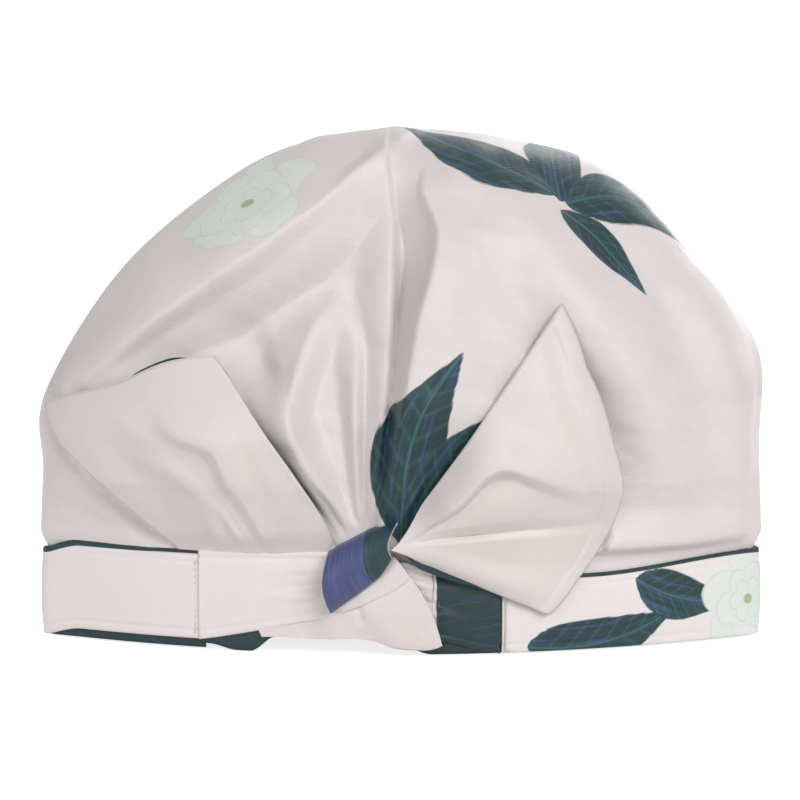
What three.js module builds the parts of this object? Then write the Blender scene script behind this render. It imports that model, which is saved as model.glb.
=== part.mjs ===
// A turban-style shower cap: a lined crown of coated cloth, pleated into a knotted bow at the front,
// on a band whose back half is a casing with flat elastic inside.
// Millimetres, +Z up. The origin is the centre of the head opening, in the plane of the band's lower edge.
// The bow faces -Y, and the cap stands on its band.
import * as THREE from "three";

// Cloth layers
const CLOTH = 0.8; // one layer of coated cloth with its turned edges
const LINING = 0.6; // waterproof film lining
const LAYER_GAP = 0.3; // between layers that lie against each other
const LINING_SLACK = 3.2; // between the crown and the lining that hangs in it

// Band
const BAND_WIDTH = 280; // from side fold to side fold
const BAND_HEIGHT = 35;
const FRONT_BOW = 46; // how far the front bows out from the line through the side folds
const REAR_BOW = 44;
const PIPING_HEIGHT = 2.4; // rolled edge along the top of the casing
const PIPING_DEPTH = 1.8;
const ELASTIC_HEIGHT = 25;
const ELASTIC_THICKNESS = 1;
const LEFT_SEAM_X = -77; // where the left tie is sewn to the casing
const RIGHT_SEAM_X = 38;

// Crown
const CROWN_TOP = 197.5; // height of the highest point
const CROWN_TOP_X = -2;
const FRONT_DEPTH = 66; // fullest depth of the crown, in front of and behind the side folds
const REAR_DEPTH = 72;
const FULL_RISE = 60; // height above the band where the crown is deepest
const FOLD_RISE = 30; // height above the band over which the side folds open out
const SIDE_LEAN = 2.5; // how far the sides lean in before the shoulder
const RIGHT_SIDE_RISE = 78; // height of the straight side above the band
const LEFT_SIDE_RISE = 60;
const RIGHT_CORNER_X = 81; // where the slope of the shoulder meets the rounded top
const RIGHT_CORNER_DROP = 16.5;
const RIGHT_SLOPE_SWELL = 3; // how far the slope bows out between shoulder and corner
const LEFT_CORNER_X = -64;
const LEFT_CORNER_DROP = 18;
const LEFT_SLOPE_SWELL = 9;
const DOME_POWER = 2.2; // above 2, so the dome is fuller than an ellipse

// Folds of the front, drawn in by the knot. Points are [x, z] from the knot's centre, and shares are of the
// crown's rise above the band
const SINK_DEPTH = 12; // how far the middle of the front is drawn in
const SINK_FULL_SHARE = 0.5; // drawn in fully from here
const SINK_FADE_SHARE = 0.7; // to here, and dying away above it
const SINK_END_SHARE = 0.94;
const SINK_LEFT = { from: -107, full: -42 }; // begins at the first x, and is full at the second
const PANEL_EDGE = [[5, 3], [10, 33], [19.5, 91], [26.6, 123], [15.7, 149]]; // edge of the smooth right panel
const PANEL_WALL = 13.5; // from that edge to the foot of the wall beside it
const PANEL_SWELL = 4; // how far the panel stands out along that edge
const PANEL_SWELL_WIDTH = 34;
const SLANT = [[-109, 69], [-85, 90], [-38, 122], [-1, 151]]; // fold that runs from the left side to the top
const SLANT_WALL = 20; // from that fold down to the foot of the wall below it
const PLEATS = [
  { line: [[2.5, 9], [6.8, 58], [8.7, 113], [7, 149]], heights: [3, 9, 7, 1], left: 10, right: 4 },
  { line: [[-2, 9], [-5.5, 55], [-15, 103]], heights: [2, 7, 1.5], left: 5, right: 5 },
  { line: [[-6, 9], [-28, 60], [-17, 105]], heights: [2, 10, 1.5], left: 8, right: 10 },
];
const PLEAT_START_RISE = 8; // above the band, where the pleats have their full height
const COLUMN_SHARE = 0.8; // above this share the columns of the pleats run together at the top

// Knot
const KNOT_X = -13;
const KNOT_RISE = 2; // the knot's centre above the top of the band
const KNOT_TILT = 34.6; // degrees, the right end up
const KNOT_LEAN = 9; // degrees, the right end forward
const KNOT_LENGTH = 26.7;
const KNOT_LEFT_RADIUS = 13.5;
const KNOT_RIGHT_RADIUS = 6.8;
const KNOT_FLATTENING = 0.62; // depth of the knot as a share of its height
const WRAP_SWEEP = 240; // degrees of the knot that the wrap covers
const CORE_PROUD = 0.8; // how far the gathered core stands out of the wrap's mouths
const CORE_HALF_TURN = 84; // degrees from the core's front to its creased edges

// Bow, in front view. Points are [x, z] from the knot's centre
const LEFT_EAR = {
  rootLow: [-70, -1.5],
  rootHigh: [-17, -1.5],
  tipLow: [-124, 58],
  tipHigh: [-56, 80],
  bulge: 2,
};
const RIGHT_EAR = {
  rootLow: [15.4, 1],
  rootHigh: [13.2, 11],
  tipLow: [72, -22],
  tipHigh: [74, 98],
  bulge: 22,
};
const TAIL = {
  rootLow: [-8.5, -24],
  rootHigh: [12, -1],
  tipLow: [-6, -35],
  tipHigh: [30, -35],
  bulge: 0,
};
const LEFT_EAR_LIFT = 4; // how far the left ear lies off the crown
const RIGHT_EAR_ROOT_LIFT = 9;
const RIGHT_EAR_TIP_LIFT = 4.5;
const TAIL_ROOT_LIFT = 5.5;
const TAIL_TIP_LIFT = 2.2;
const EDGE_SEAM_DIAMETER = 0.9;

// Stitching
const THREAD_DIAMETER = 0.6;
const STITCH_LENGTH = 2.6;
const STITCH_SWING = 0.9;
const STITCH_MARGIN = 2.5; // from the seam, and from the band's edges
const THREAD_TAIL = 6; // loose end of the right seam's thread

// Counts that set how finely the cloth is divided
const CROWN_ROWS = 15;
const RIGHT_PANEL_COLUMNS = 8;
const LEFT_PANEL_COLUMNS = 11;
const REAR_COLUMNS = 12;
const LINE_SAMPLES = 400;
const BAND_STEP = 9; // millimetres along the band
const MIN_TIE_STEPS = 4;
const EAR_ROWS = 10;
const EAR_COLUMNS = 7;
const WRAP_ROWS = 6;
const WRAP_COLUMNS = 14;
const THREAD_SIDES = 6;

// Values that follow from the sizes above
const HALF_WIDTH = BAND_WIDTH / 2;
const CROWN_EDGE = BAND_HEIGHT + LAYER_GAP;
const CROWN_RISE = CROWN_TOP - CROWN_EDGE;
const KNOT_Z = BAND_HEIGHT + KNOT_RISE;
const RADIANS = Math.PI / 180;

const blush = 0xe8dfdc;
const looks = {
  cloth: { color: blush, roughness: 0.45, metalness: 0 },
  print: { color: 0x2b4a52, roughness: 0.45, metalness: 0 },
  indigo: { color: 0x3b4380, roughness: 0.45, metalness: 0 },
  lining: { color: 0xf1ece9, roughness: 0.35, metalness: 0 },
  elastic: { color: 0xf4f2ee, roughness: 0.85, metalness: 0 },
  thread: { color: 0xe9dfd9, roughness: 0.7, metalness: 0 },
};

const cap = new THREE.Group();

function addPiece(name, look, geometry) {
  const mesh = new THREE.Mesh(geometry, new THREE.MeshStandardMaterial(looks[look]));
  mesh.name = name;
  cap.add(mesh);
  return mesh;
}

function signedVolume(positions, index) {
  const [a, b, c] = [new THREE.Vector3(), new THREE.Vector3(), new THREE.Vector3()];
  let six = 0;
  for (let i = 0; i < index.length; i += 3) {
    a.copy(positions[index[i]]);
    b.copy(positions[index[i + 1]]);
    c.copy(positions[index[i + 2]]);
    six += a.dot(b.cross(c));
  }
  return six / 6;
}

// A closed sheet between two grids of points, rows by columns. A ring joins its last column to its first,
// and poles close the last row to one point on each face.
function closedSheet(face, back, { ring = false, poles = null } = {}) {
  const rows = face.length;
  const columns = face[0].length;
  const positions = [...face.flat(), ...back.flat(), ...(poles ?? [])];
  const index = [];
  const at = (layer, row, column) => layer * rows * columns + row * columns + (column % columns);
  const quad = (a, b, c, d) => index.push(a, b, c, a, c, d);
  const spans = ring ? columns : columns - 1;
  for (let j = 0; j < spans; j++) {
    for (let i = 0; i < rows - 1; i++) {
      quad(at(0, i, j), at(0, i, j + 1), at(0, i + 1, j + 1), at(0, i + 1, j));
      quad(at(1, i, j), at(1, i + 1, j), at(1, i + 1, j + 1), at(1, i, j + 1));
    }
    quad(at(0, 0, j + 1), at(0, 0, j), at(1, 0, j), at(1, 0, j + 1));
    if (poles) {
      const [facePole, backPole] = [2 * rows * columns, 2 * rows * columns + 1];
      index.push(at(0, rows - 1, j), at(0, rows - 1, j + 1), facePole);
      index.push(at(1, rows - 1, j + 1), at(1, rows - 1, j), backPole);
    } else {
      quad(at(0, rows - 1, j), at(0, rows - 1, j + 1), at(1, rows - 1, j + 1), at(1, rows - 1, j));
    }
  }
  if (!ring) {
    for (let i = 0; i < rows - 1; i++) {
      quad(at(0, i, 0), at(0, i + 1, 0), at(1, i + 1, 0), at(1, i, 0));
      const last = columns - 1;
      quad(at(0, i + 1, last), at(0, i, last), at(1, i, last), at(1, i + 1, last));
    }
  }
  if (signedVolume(positions, index) < 0) index.reverse();
  const geometry = new THREE.BufferGeometry().setFromPoints(positions);
  geometry.setIndex(index);
  geometry.computeVertexNormals();
  return geometry;
}

function roundSection(diameter) {
  const points = Array.from({ length: THREAD_SIDES }, (_, i) => {
    const turn = (2 * Math.PI * i) / THREAD_SIDES;
    return new THREE.Vector2(Math.cos(turn), Math.sin(turn)).multiplyScalar(diameter / 2);
  });
  return new THREE.Shape(points);
}

function threadAlong(points, diameter, stepsPerPoint) {
  const path = new THREE.CatmullRomCurve3(points);
  return new THREE.ExtrudeGeometry(roundSection(diameter), {
    steps: stepsPerPoint * (points.length - 1),
    extrudePath: path,
    curveSegments: 1,
  });
}

const level = (z) => () => z;
const steps = (from, to, count) =>
  Array.from({ length: count + 1 }, (_, i) => from + ((to - from) * i) / count);

// Band: in plan, two bowed halves that meet at a fold on each side.
const bowAt = (x) => 1 - (x / HALF_WIDTH) ** 2;
const bandFrontY = (x) => -FRONT_BOW * bowAt(x);
const bandRearY = (x) => REAR_BOW * bowAt(x);

function bandPath(fromX, toX, bandY) {
  const count = Math.max(MIN_TIE_STEPS, Math.round(Math.abs(toX - fromX) / BAND_STEP));
  return steps(fromX, toX, count).map((x) => new THREE.Vector2(x, bandY(x)));
}

// The path moved sideways towards the inside of the band, with mitred corners.
function movedInward(path, distance) {
  const inward = (from, to) => {
    const along = to.clone().sub(from).normalize();
    return new THREE.Vector2(along.y, -along.x);
  };
  return path.map((point, i) => {
    const before = inward(path[Math.max(i - 1, 0)], path[Math.max(i, 1)]);
    const after = inward(path[Math.min(i, path.length - 2)], path[Math.min(i + 1, path.length - 1)]);
    const mitre = before.clone().add(after).normalize();
    return mitre.multiplyScalar(distance / mitre.dot(before)).add(point);
  });
}

// A strip of the band between two depths from its outer face, with its own lower and upper edge.
function bandStrip(path, outerDepth, thickness, lowEdge, highEdge) {
  const rowsAt = (depth) => {
    const line = movedInward(path, depth);
    return [lowEdge, highEdge].map((edge) => line.map((p) => new THREE.Vector3(p.x, p.y, edge(p.x))));
  };
  return closedSheet(rowsAt(outerDepth), rowsAt(outerDepth + thickness));
}

// From the left seam round the back to the right seam, with a point on each side fold.
function casingPath() {
  return [
    ...bandPath(LEFT_SEAM_X, -HALF_WIDTH, bandFrontY),
    ...bandPath(-HALF_WIDTH, HALF_WIDTH, bandRearY).slice(1),
    ...bandPath(HALF_WIDTH, RIGHT_SEAM_X, bandFrontY).slice(1),
  ];
}

function addBand() {
  const casing = casingPath();
  const elasticDepth = CLOTH + LAYER_GAP;
  const liningDepth = elasticDepth + ELASTIC_THICKNESS + LAYER_GAP;
  const casingTop = BAND_HEIGHT - PIPING_HEIGHT - LAYER_GAP;
  const elasticLow = (casingTop - ELASTIC_HEIGHT) / 2;
  addPiece("rear_casing", "cloth", bandStrip(casing, 0, CLOTH, level(0), level(casingTop)));
  addPiece(
    "rear_elastic",
    "elastic",
    bandStrip(casing, elasticDepth, ELASTIC_THICKNESS, level(elasticLow), level(elasticLow + ELASTIC_HEIGHT)),
  );
  addPiece(
    "casing_lining",
    "print",
    bandStrip(casing, liningDepth, LINING, level(LAYER_GAP), level(BAND_HEIGHT)),
  );
  addPiece(
    "casing_piping",
    "print",
    bandStrip(casing, 0, PIPING_DEPTH, level(BAND_HEIGHT - PIPING_HEIGHT), level(BAND_HEIGHT)),
  );

  const leftSeam = LEFT_SEAM_X + LAYER_GAP;
  const rightSeam = RIGHT_SEAM_X - LAYER_GAP;
  const facing = bandPath(rightSeam, leftSeam, bandFrontY);
  addPiece(
    "front_facing",
    "cloth",
    bandStrip(facing, CLOTH + LAYER_GAP, CLOTH, level(0), level(BAND_HEIGHT)),
  );

  // Each tie narrows from the band's full height at its seam to the height of the knot's mouth.
  const mouthLow = KNOT_Z - KNOT_LEFT_RADIUS;
  const narrowing = (seamX) => (x) => {
    const share = THREE.MathUtils.clamp((x - seamX) / (KNOT_X - seamX), 0, 1);
    return Math.max(0, mouthLow) * share ** 2;
  };
  const leftTie = bandPath(KNOT_X - LAYER_GAP, leftSeam, bandFrontY);
  addPiece("left_tie", "cloth", bandStrip(leftTie, 0, CLOTH, narrowing(LEFT_SEAM_X), level(BAND_HEIGHT)));
  const rightTie = bandPath(rightSeam, KNOT_X + LAYER_GAP, bandFrontY);
  addPiece("right_tie", "print", bandStrip(rightTie, 0, CLOTH, narrowing(RIGHT_SEAM_X), level(BAND_HEIGHT)));
}

// A smooth line through points, as a function of the first of their two values.
function lineThrough(points) {
  const samples = new THREE.SplineCurve(points.map(([at, value]) => new THREE.Vector2(at, value)))
    .getPoints(LINE_SAMPLES);
  const [first, last] = [samples[0], samples[samples.length - 1]];
  return (at) => {
    if (at <= first.x) return first.y;
    const next = samples.findIndex((p) => p.x >= at);
    if (next < 0) return last.y;
    const [a, b] = [samples[next - 1], samples[next]];
    return a.y + ((b.y - a.y) * (at - a.x)) / Math.max(b.x - a.x, 1e-6);
  };
}

// Crown: level rings between a left and a right outline, bowed to the front and to the back.
function outlineOf(side, rise, cornerX, cornerDrop, swell) {
  const edgeX = side * HALF_WIDTH;
  const shoulderX = side * (HALF_WIDTH - SIDE_LEAN);
  const shoulderZ = CROWN_EDGE + rise;
  const cornerZ = CROWN_TOP - cornerDrop;
  return lineThrough([
    [CROWN_EDGE, edgeX],
    [(CROWN_EDGE + shoulderZ) / 2, (edgeX + shoulderX) / 2],
    [shoulderZ, shoulderX],
    [(shoulderZ + cornerZ) / 2 + swell / Math.SQRT2, (shoulderX + cornerX) / 2 + (side * swell) / Math.SQRT2],
    [cornerZ, cornerX],
    [CROWN_TOP - cornerDrop / 4, (cornerX + CROWN_TOP_X) / 2],
    [CROWN_TOP, CROWN_TOP_X],
  ]);
}

const leftOutline = outlineOf(-1, LEFT_SIDE_RISE, LEFT_CORNER_X, LEFT_CORNER_DROP, LEFT_SLOPE_SWELL);
const rightOutline = outlineOf(1, RIGHT_SIDE_RISE, RIGHT_CORNER_X, RIGHT_CORNER_DROP, RIGHT_SLOPE_SWELL);
const middleX = (z) => (leftOutline(z) + rightOutline(z)) / 2;
const halfAcross = (z) => (rightOutline(z) - leftOutline(z)) / 2;

function crownDepth(z, bow, fullest) {
  const rise = z - CROWN_EDGE;
  if (rise < FULL_RISE) return bow + (fullest - bow) * THREE.MathUtils.smoothstep(rise, 0, FULL_RISE);
  const share = Math.min(1, (rise - FULL_RISE) / (CROWN_RISE - FULL_RISE));
  return fullest * (1 - share ** DOME_POWER) ** (1 / DOME_POWER);
}

// The rings are lens-shaped at the band, with a fold on each side, and open to near ellipses above it.
function ringShare(across, z) {
  const power = 1 - 0.4 * Math.min(1, (z - CROWN_EDGE) / FOLD_RISE);
  return Math.max(0, 1 - across ** 2) ** power;
}

function crownFrontY(x, z) {
  const across = THREE.MathUtils.clamp((x - middleX(z)) / halfAcross(z), -1, 1);
  return -crownDepth(z, FRONT_BOW, FRONT_DEPTH) * ringShare(across, z);
}

const riseShare = (z) => THREE.MathUtils.clamp((z - CROWN_EDGE) / CROWN_RISE, 0, 1);
const foldX = (points) => lineThrough(points.map(([x, z]) => [KNOT_Z + z, KNOT_X + x]));
const panelEdgeX = foldX(PANEL_EDGE);
const slantZ = lineThrough(SLANT.map(([x, z]) => [KNOT_X + x, KNOT_Z + z]));
const pleats = PLEATS.map(({ line, heights, left, right }) => ({
  x: foldX(line),
  height: lineThrough(line.map(([, z], i) => [KNOT_Z + z, heights[i]])),
  left,
  right,
}));

const topFade = (z) => 1 - THREE.MathUtils.smoothstep(riseShare(z), SINK_FADE_SHARE, SINK_END_SHARE);

// How far the folds are formed at a height: more and more above the band, and not at the top.
function foldShare(z) {
  return Math.min(1, riseShare(z) / SINK_FULL_SHARE) * topFade(z);
}

// How far the middle of the front lies behind the plain crown: behind the wall at the panel's edge, and below
// the slanting fold.
function sunken(x, z) {
  const { clamp, smoothstep } = THREE.MathUtils;
  const wall = clamp((panelEdgeX(z) - x) / PANEL_WALL, 0, 1);
  const brow = clamp((slantZ(x) - z) / SLANT_WALL, 0, 1);
  const left = smoothstep(x, KNOT_X + SINK_LEFT.from, KNOT_X + SINK_LEFT.full);
  return SINK_DEPTH * foldShare(z) * wall * brow * left;
}

function panelSwell(x, z) {
  const away = x - panelEdgeX(z);
  return away < 0 ? 0 : PANEL_SWELL * foldShare(z) * Math.max(0, 1 - away / PANEL_SWELL_WIDTH);
}

function pleatHeight(x, z) {
  const start = Math.min(1, (z - CROWN_EDGE) / PLEAT_START_RISE);
  const heights = pleats.map((pleat) => {
    const away = x - pleat.x(z);
    return pleat.height(z) * Math.max(0, 1 - (away > 0 ? away / pleat.right : -away / pleat.left));
  });
  return start * topFade(z) * Math.max(...heights);
}

const frontRelief = (x, z) => panelSwell(x, z) + pleatHeight(x, z) - sunken(x, z);

// A point of the crown at a share across the ring, on its front or its back, moved inward for an inner face.
function crownPoint(across, z, isRear, inset, relief) {
  const x = middleX(z) + halfAcross(z) * across;
  const depth = isRear ? crownDepth(z, REAR_BOW, REAR_DEPTH) : -crownDepth(z, FRONT_BOW, FRONT_DEPTH);
  return new THREE.Vector3(
    x * (1 - inset / HALF_WIDTH),
    depth * ringShare(across, z) * (1 - inset / FRONT_DEPTH) - (isRear ? 0 : relief(x, z)),
    CROWN_EDGE + (z - CROWN_EDGE) * (1 - inset / CROWN_RISE),
  );
}

// Shares across the ring at the crown's columns: right panel, wall, a column on each pleat and each valley,
// left panel, and back. Near the top the columns keep their share, so that they run together there.
function crownColumns(z) {
  const { lerp } = THREE.MathUtils;
  const columnZ = Math.min(z, CROWN_EDGE + COLUMN_SHARE * CROWN_RISE);
  const crests = pleats.map((pleat) => pleat.x(columnZ));
  const lastPleat = pleats[pleats.length - 1];
  const places = [panelEdgeX(columnZ)];
  crests.forEach((crest) => places.push(lerp(places[places.length - 1], crest, 0.5), crest));
  places.push(crests[crests.length - 1] - lastPleat.left);
  const folds = places.map((x) => (x - middleX(columnZ)) / halfAcross(columnZ));
  const towardsFold = (from, fold, count) =>
    steps(0, 1, count).map((f) => from + (fold - from) * Math.sin((Math.PI / 2) * f));
  const right = towardsFold(folds[0], 1, RIGHT_PANEL_COLUMNS).reverse().slice(0, -1);
  const left = towardsFold(folds[folds.length - 1], -1, LEFT_PANEL_COLUMNS).slice(1);
  const rear = steps(Math.PI, 0, REAR_COLUMNS + 1).slice(1, -1).map((turn) => Math.cos(turn));
  return [
    ...[...right, ...folds, ...left].map((across) => ({ across, isRear: false })),
    ...rear.map((across) => ({ across, isRear: true })),
  ];
}

function crownShell(outerInset, thickness, relief) {
  const turns = steps(0, Math.PI / 2, CROWN_ROWS).slice(0, -1);
  const heights = turns.map((turn) => CROWN_EDGE + CROWN_RISE * Math.sin(turn));
  const gridAt = (inset) =>
    heights.map((z) => crownColumns(z).map((c) => crownPoint(c.across, z, c.isRear, inset, relief)));
  const poleAt = (inset) => new THREE.Vector3(CROWN_TOP_X, 0, CROWN_TOP - inset);
  const insets = [outerInset, outerInset + thickness];
  return closedSheet(gridAt(insets[0]), gridAt(insets[1]), { ring: true, poles: insets.map(poleAt) });
}

// The lining is drawn in with the crown, but has no pleats.
function addCrown() {
  addPiece("crown_shell", "cloth", crownShell(0, CLOTH, frontRelief));
  addPiece("crown_lining", "lining", crownShell(CLOTH + LINING_SLACK, LINING, (x, z) => -sunken(x, z)));
}

// Knot: a flattened cone of gathered cloth, with a strip wrapped round its front.
const knotUp = new THREE.Vector3(-Math.sin(KNOT_TILT * RADIANS), 0, Math.cos(KNOT_TILT * RADIANS));
const knotAxis = new THREE.Vector3(knotUp.z, -Math.tan(KNOT_LEAN * RADIANS), -knotUp.x).normalize();
const knotOut = knotAxis.clone().cross(knotUp);
const knotReach = KNOT_LEFT_RADIUS * KNOT_FLATTENING - (knotAxis.y * KNOT_LENGTH) / 2;
const knotY = bandFrontY(KNOT_X) - knotReach - LAYER_GAP;
const knotCentre = new THREE.Vector3(KNOT_X, knotY, KNOT_Z);

function knotPoint(along, turn, inset) {
  const radius = KNOT_LEFT_RADIUS + (KNOT_RIGHT_RADIUS - KNOT_LEFT_RADIUS) * along - inset;
  return knotCentre
    .clone()
    .addScaledVector(knotAxis, KNOT_LENGTH * (along - 0.5))
    .addScaledVector(knotUp, radius * Math.sin(turn))
    .addScaledVector(knotOut, radius * KNOT_FLATTENING * Math.cos(turn));
}

function knotGrid(overhang, turns, inset) {
  const share = overhang / KNOT_LENGTH;
  const places = steps(-share, 1 + share, WRAP_ROWS);
  return places.map((along) => turns.map((turn) => knotPoint(along, turn, inset)));
}

function addKnot() {
  const sweep = (WRAP_SWEEP / 2) * RADIANS;
  const wrapTurns = steps(-sweep, sweep, WRAP_COLUMNS);
  addPiece("knot_wrap", "indigo", closedSheet(knotGrid(0, wrapTurns, 0), knotGrid(0, wrapTurns, CLOTH)));

  const inset = CLOTH / KNOT_FLATTENING + LAYER_GAP;
  const frontTurns = steps(-CORE_HALF_TURN * RADIANS, CORE_HALF_TURN * RADIANS, WRAP_COLUMNS);
  const backTurns = frontTurns.map((turn) => Math.PI - turn);
  const coreFaces = [frontTurns, backTurns].map((turns) => knotGrid(CORE_PROUD, turns, inset));
  addPiece("knot_core", "cloth", closedSheet(...coreFaces));
}

// Ears and tail: strips that widen from the knot to a slanted end, laid over the front of the cap.
function flapPlan(flap) {
  const corner = ([x, z]) => new THREE.Vector2(KNOT_X + x, KNOT_Z + z);
  const [rootLow, rootHigh] = [corner(flap.rootLow), corner(flap.rootHigh)];
  const [tipLow, tipHigh] = [corner(flap.tipLow), corner(flap.tipHigh)];
  const end = tipHigh.clone().sub(tipLow).normalize();
  const outward = new THREE.Vector2(end.y, -end.x);
  if (outward.dot(tipLow.clone().sub(rootLow)) < 0) outward.negate();
  return (along, across) => {
    const low = rootLow.clone().lerp(tipLow, along);
    const high = rootHigh.clone().lerp(tipHigh, along);
    const swell = flap.bulge * along * 4 * across * (1 - across);
    return low.lerp(high, across).addScaledVector(outward, swell);
  };
}

// The front of the cap under a flap, which lies over its hollows.
function frontY(x, z) {
  if (z < CROWN_EDGE) return bandFrontY(x);
  return crownFrontY(x, z) - Math.max(0, frontRelief(x, z));
}

function flapGrid(flap, liftAt, depth) {
  const plan = flapPlan(flap);
  return steps(0, 1, EAR_ROWS).map((along) =>
    steps(0, 1, EAR_COLUMNS).map((across) => {
      const p = plan(along, across);
      return new THREE.Vector3(p.x, frontY(p.x, p.y) - liftAt(along) + depth, p.y);
    }),
  );
}

// The line of a flap's two long edges and its end, moved outward in front view.
function flapEdge(flap, liftAt, depth, clear) {
  const plan = flapPlan(flap);
  const places = [
    ...steps(1 / EAR_ROWS, 1, EAR_ROWS - 1).map((along) => [along, 0]),
    ...steps(0, 1, EAR_COLUMNS).slice(1, -1).map((across) => [1, across]),
    ...steps(1, 1 / EAR_ROWS, EAR_ROWS - 1).map((along) => [along, 1]),
  ];
  const line = places.map(([along, across]) => plan(along, across));
  const outward = THREE.ShapeUtils.area(line) > 0 ? clear : -clear;
  return movedInward(line, outward).map((p, i) => {
    const y = frontY(line[i].x, line[i].y) - liftAt(places[i][0]) + depth;
    return new THREE.Vector3(p.x, y, p.y);
  });
}

// Two layers of cloth, sewn together along three sides by a rolled edge.
function addFlap(name, flap, liftAt, frontLook, backLook, hasEdgeSeam) {
  const layer = (depth) => closedSheet(flapGrid(flap, liftAt, depth), flapGrid(flap, liftAt, depth + CLOTH));
  addPiece(`${name}_front`, frontLook, layer(0));
  addPiece(`${name}_back`, backLook, layer(CLOTH + LAYER_GAP));
  if (!hasEdgeSeam) return;
  const clear = EDGE_SEAM_DIAMETER / 2 + 2 * LAYER_GAP;
  const edge = flapEdge(flap, liftAt, CLOTH + LAYER_GAP / 2, clear);
  addPiece(`${name}_edge_seam`, "thread", threadAlong(edge, EDGE_SEAM_DIAMETER, 2));
}

function addBow() {
  const leftLift = () => LEFT_EAR_LIFT;
  const rightLift = (along) => THREE.MathUtils.lerp(RIGHT_EAR_ROOT_LIFT, RIGHT_EAR_TIP_LIFT, along);
  const tailLift = (along) => THREE.MathUtils.lerp(TAIL_ROOT_LIFT, TAIL_TIP_LIFT, along);
  addFlap("left_ear", LEFT_EAR, leftLift, "cloth", "print", true);
  addFlap("right_ear", RIGHT_EAR, rightLift, "cloth", "print", true);
  addFlap("tail", TAIL, tailLift, "cloth", "print", false);
}

// Stitching: a zigzag of thread down the left seam, and a straight run with a loose end down the right one.
function seamPoint(x, z) {
  const slope = (2 * FRONT_BOW * x) / HALF_WIDTH ** 2;
  const outward = new THREE.Vector2(slope, -1).normalize();
  const p = new THREE.Vector2(x, bandFrontY(x)).addScaledVector(outward, THREAD_DIAMETER / 2 + LAYER_GAP);
  return new THREE.Vector3(p.x, p.y, z);
}

function addStitching() {
  const low = STITCH_MARGIN;
  const high = BAND_HEIGHT - PIPING_HEIGHT - STITCH_MARGIN;
  const stitches = Math.round((high - low) / STITCH_LENGTH);
  const heights = steps(low, high, stitches);
  const leftX = LEFT_SEAM_X - STITCH_MARGIN;
  const zigzag = heights.map((z, i) => seamPoint(leftX + (i % 2 ? 0.5 : -0.5) * STITCH_SWING, z));
  addPiece("left_seam_stitching", "thread", threadAlong(zigzag, THREAD_DIAMETER, 3));

  const rightX = RIGHT_SEAM_X + STITCH_MARGIN;
  const run = heights.map((z) => seamPoint(rightX, z)).reverse();
  const looseEnd = [
    seamPoint(rightX + STITCH_SWING, low - THREAD_DIAMETER),
    seamPoint(rightX + 2 * STITCH_SWING, low + THREAD_TAIL / 2),
    seamPoint(rightX + 2 * STITCH_SWING, low + THREAD_TAIL),
  ];
  addPiece("right_seam_stitching", "thread", threadAlong([...run, ...looseEnd], THREAD_DIAMETER, 3));
}

addCrown();
addBand();
addKnot();
addBow();
addStitching();

export default cap;
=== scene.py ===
"""Looks of the turban shower cap: cloth, folds, bow, stitching, print, light and camera.

Lengths in this script are millimetres until a mesh is made.
The bow faces -Y and the cap stands on its band.
"""

import math

import bpy
import numpy as np
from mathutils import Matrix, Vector, kdtree


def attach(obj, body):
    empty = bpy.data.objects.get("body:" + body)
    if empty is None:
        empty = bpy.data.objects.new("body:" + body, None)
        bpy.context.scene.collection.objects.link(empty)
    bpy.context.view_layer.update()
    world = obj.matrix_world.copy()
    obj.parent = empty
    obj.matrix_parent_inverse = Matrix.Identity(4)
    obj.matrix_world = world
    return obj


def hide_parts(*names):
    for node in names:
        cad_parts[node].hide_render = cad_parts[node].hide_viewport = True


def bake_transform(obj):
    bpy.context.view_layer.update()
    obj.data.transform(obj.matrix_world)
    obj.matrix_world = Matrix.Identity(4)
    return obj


MM = 0.001

# Forms of a fold's side
SOFT, RAMP = 0, 1

# Band
HALF_WIDTH = 140.0
FRONT_BOW = 46.0
REAR_BOW = 44.0
LEFT_SEAM_X = -77.0
RIGHT_SEAM_X = 38.0
CASING_TOP = 33.0
SIDE_FOLD_ROUNDING = 2.4
CLOTH = 0.5

# Crown
CROWN_EDGE = 35.3
CROWN_TOP = 197.5
CROWN_TOP_X = -2.0
FRONT_DEPTH = 66.0
REAR_DEPTH = 72.0
FULL_RISE = 60.0
FOLD_RISE = 30.0
DOME_POWER = 2.2
SIDE_FULLNESS = 0.4  # how far the sides round out above their folds
FOLD_END = 14.0  # how far a fold runs out past its ends
GATHER_X, GATHER_Z = -11.0, 26.0  # where the small pleats behind the knot meet
LEFT_OUTLINE = [
    (-140, 35.3), (-138.75, 65.3), (-137.5, 95.3), (-107, 143.8), (-64, 179.5), (-33, 193), (-2, 197.5),
]
RIGHT_OUTLINE = [
    (140, 35.3), (138.75, 74.3), (137.5, 113.3), (111.4, 149.3), (81, 181), (39.5, 193.4), (-2, 197.5),
]


def smoothstep(value, low, high):
    share = np.clip((value - low) / (high - low), 0, 1)
    return share * share * (3 - 2 * share)


def falling(value, low, high):
    return 1 - smoothstep(value, low, high)


def arch(share):
    """A half wave: 0 at both ends and 1 in the middle."""
    return np.sin(math.pi * share)


def bell(value, width):
    return np.exp(-((value / width) ** 2))


def shares(rows, columns):
    """Shares from 0 to 1 along the rows and across the columns of a grid."""
    return np.linspace(0, 1, rows)[:, None], np.linspace(0, 1, columns)[None]


def unit(vectors):
    return vectors / np.linalg.norm(vectors, axis=-1, keepdims=True)


def stacked(*values):
    """Values spread against each other, as points."""
    return np.stack(np.broadcast_arrays(*values), -1)


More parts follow.
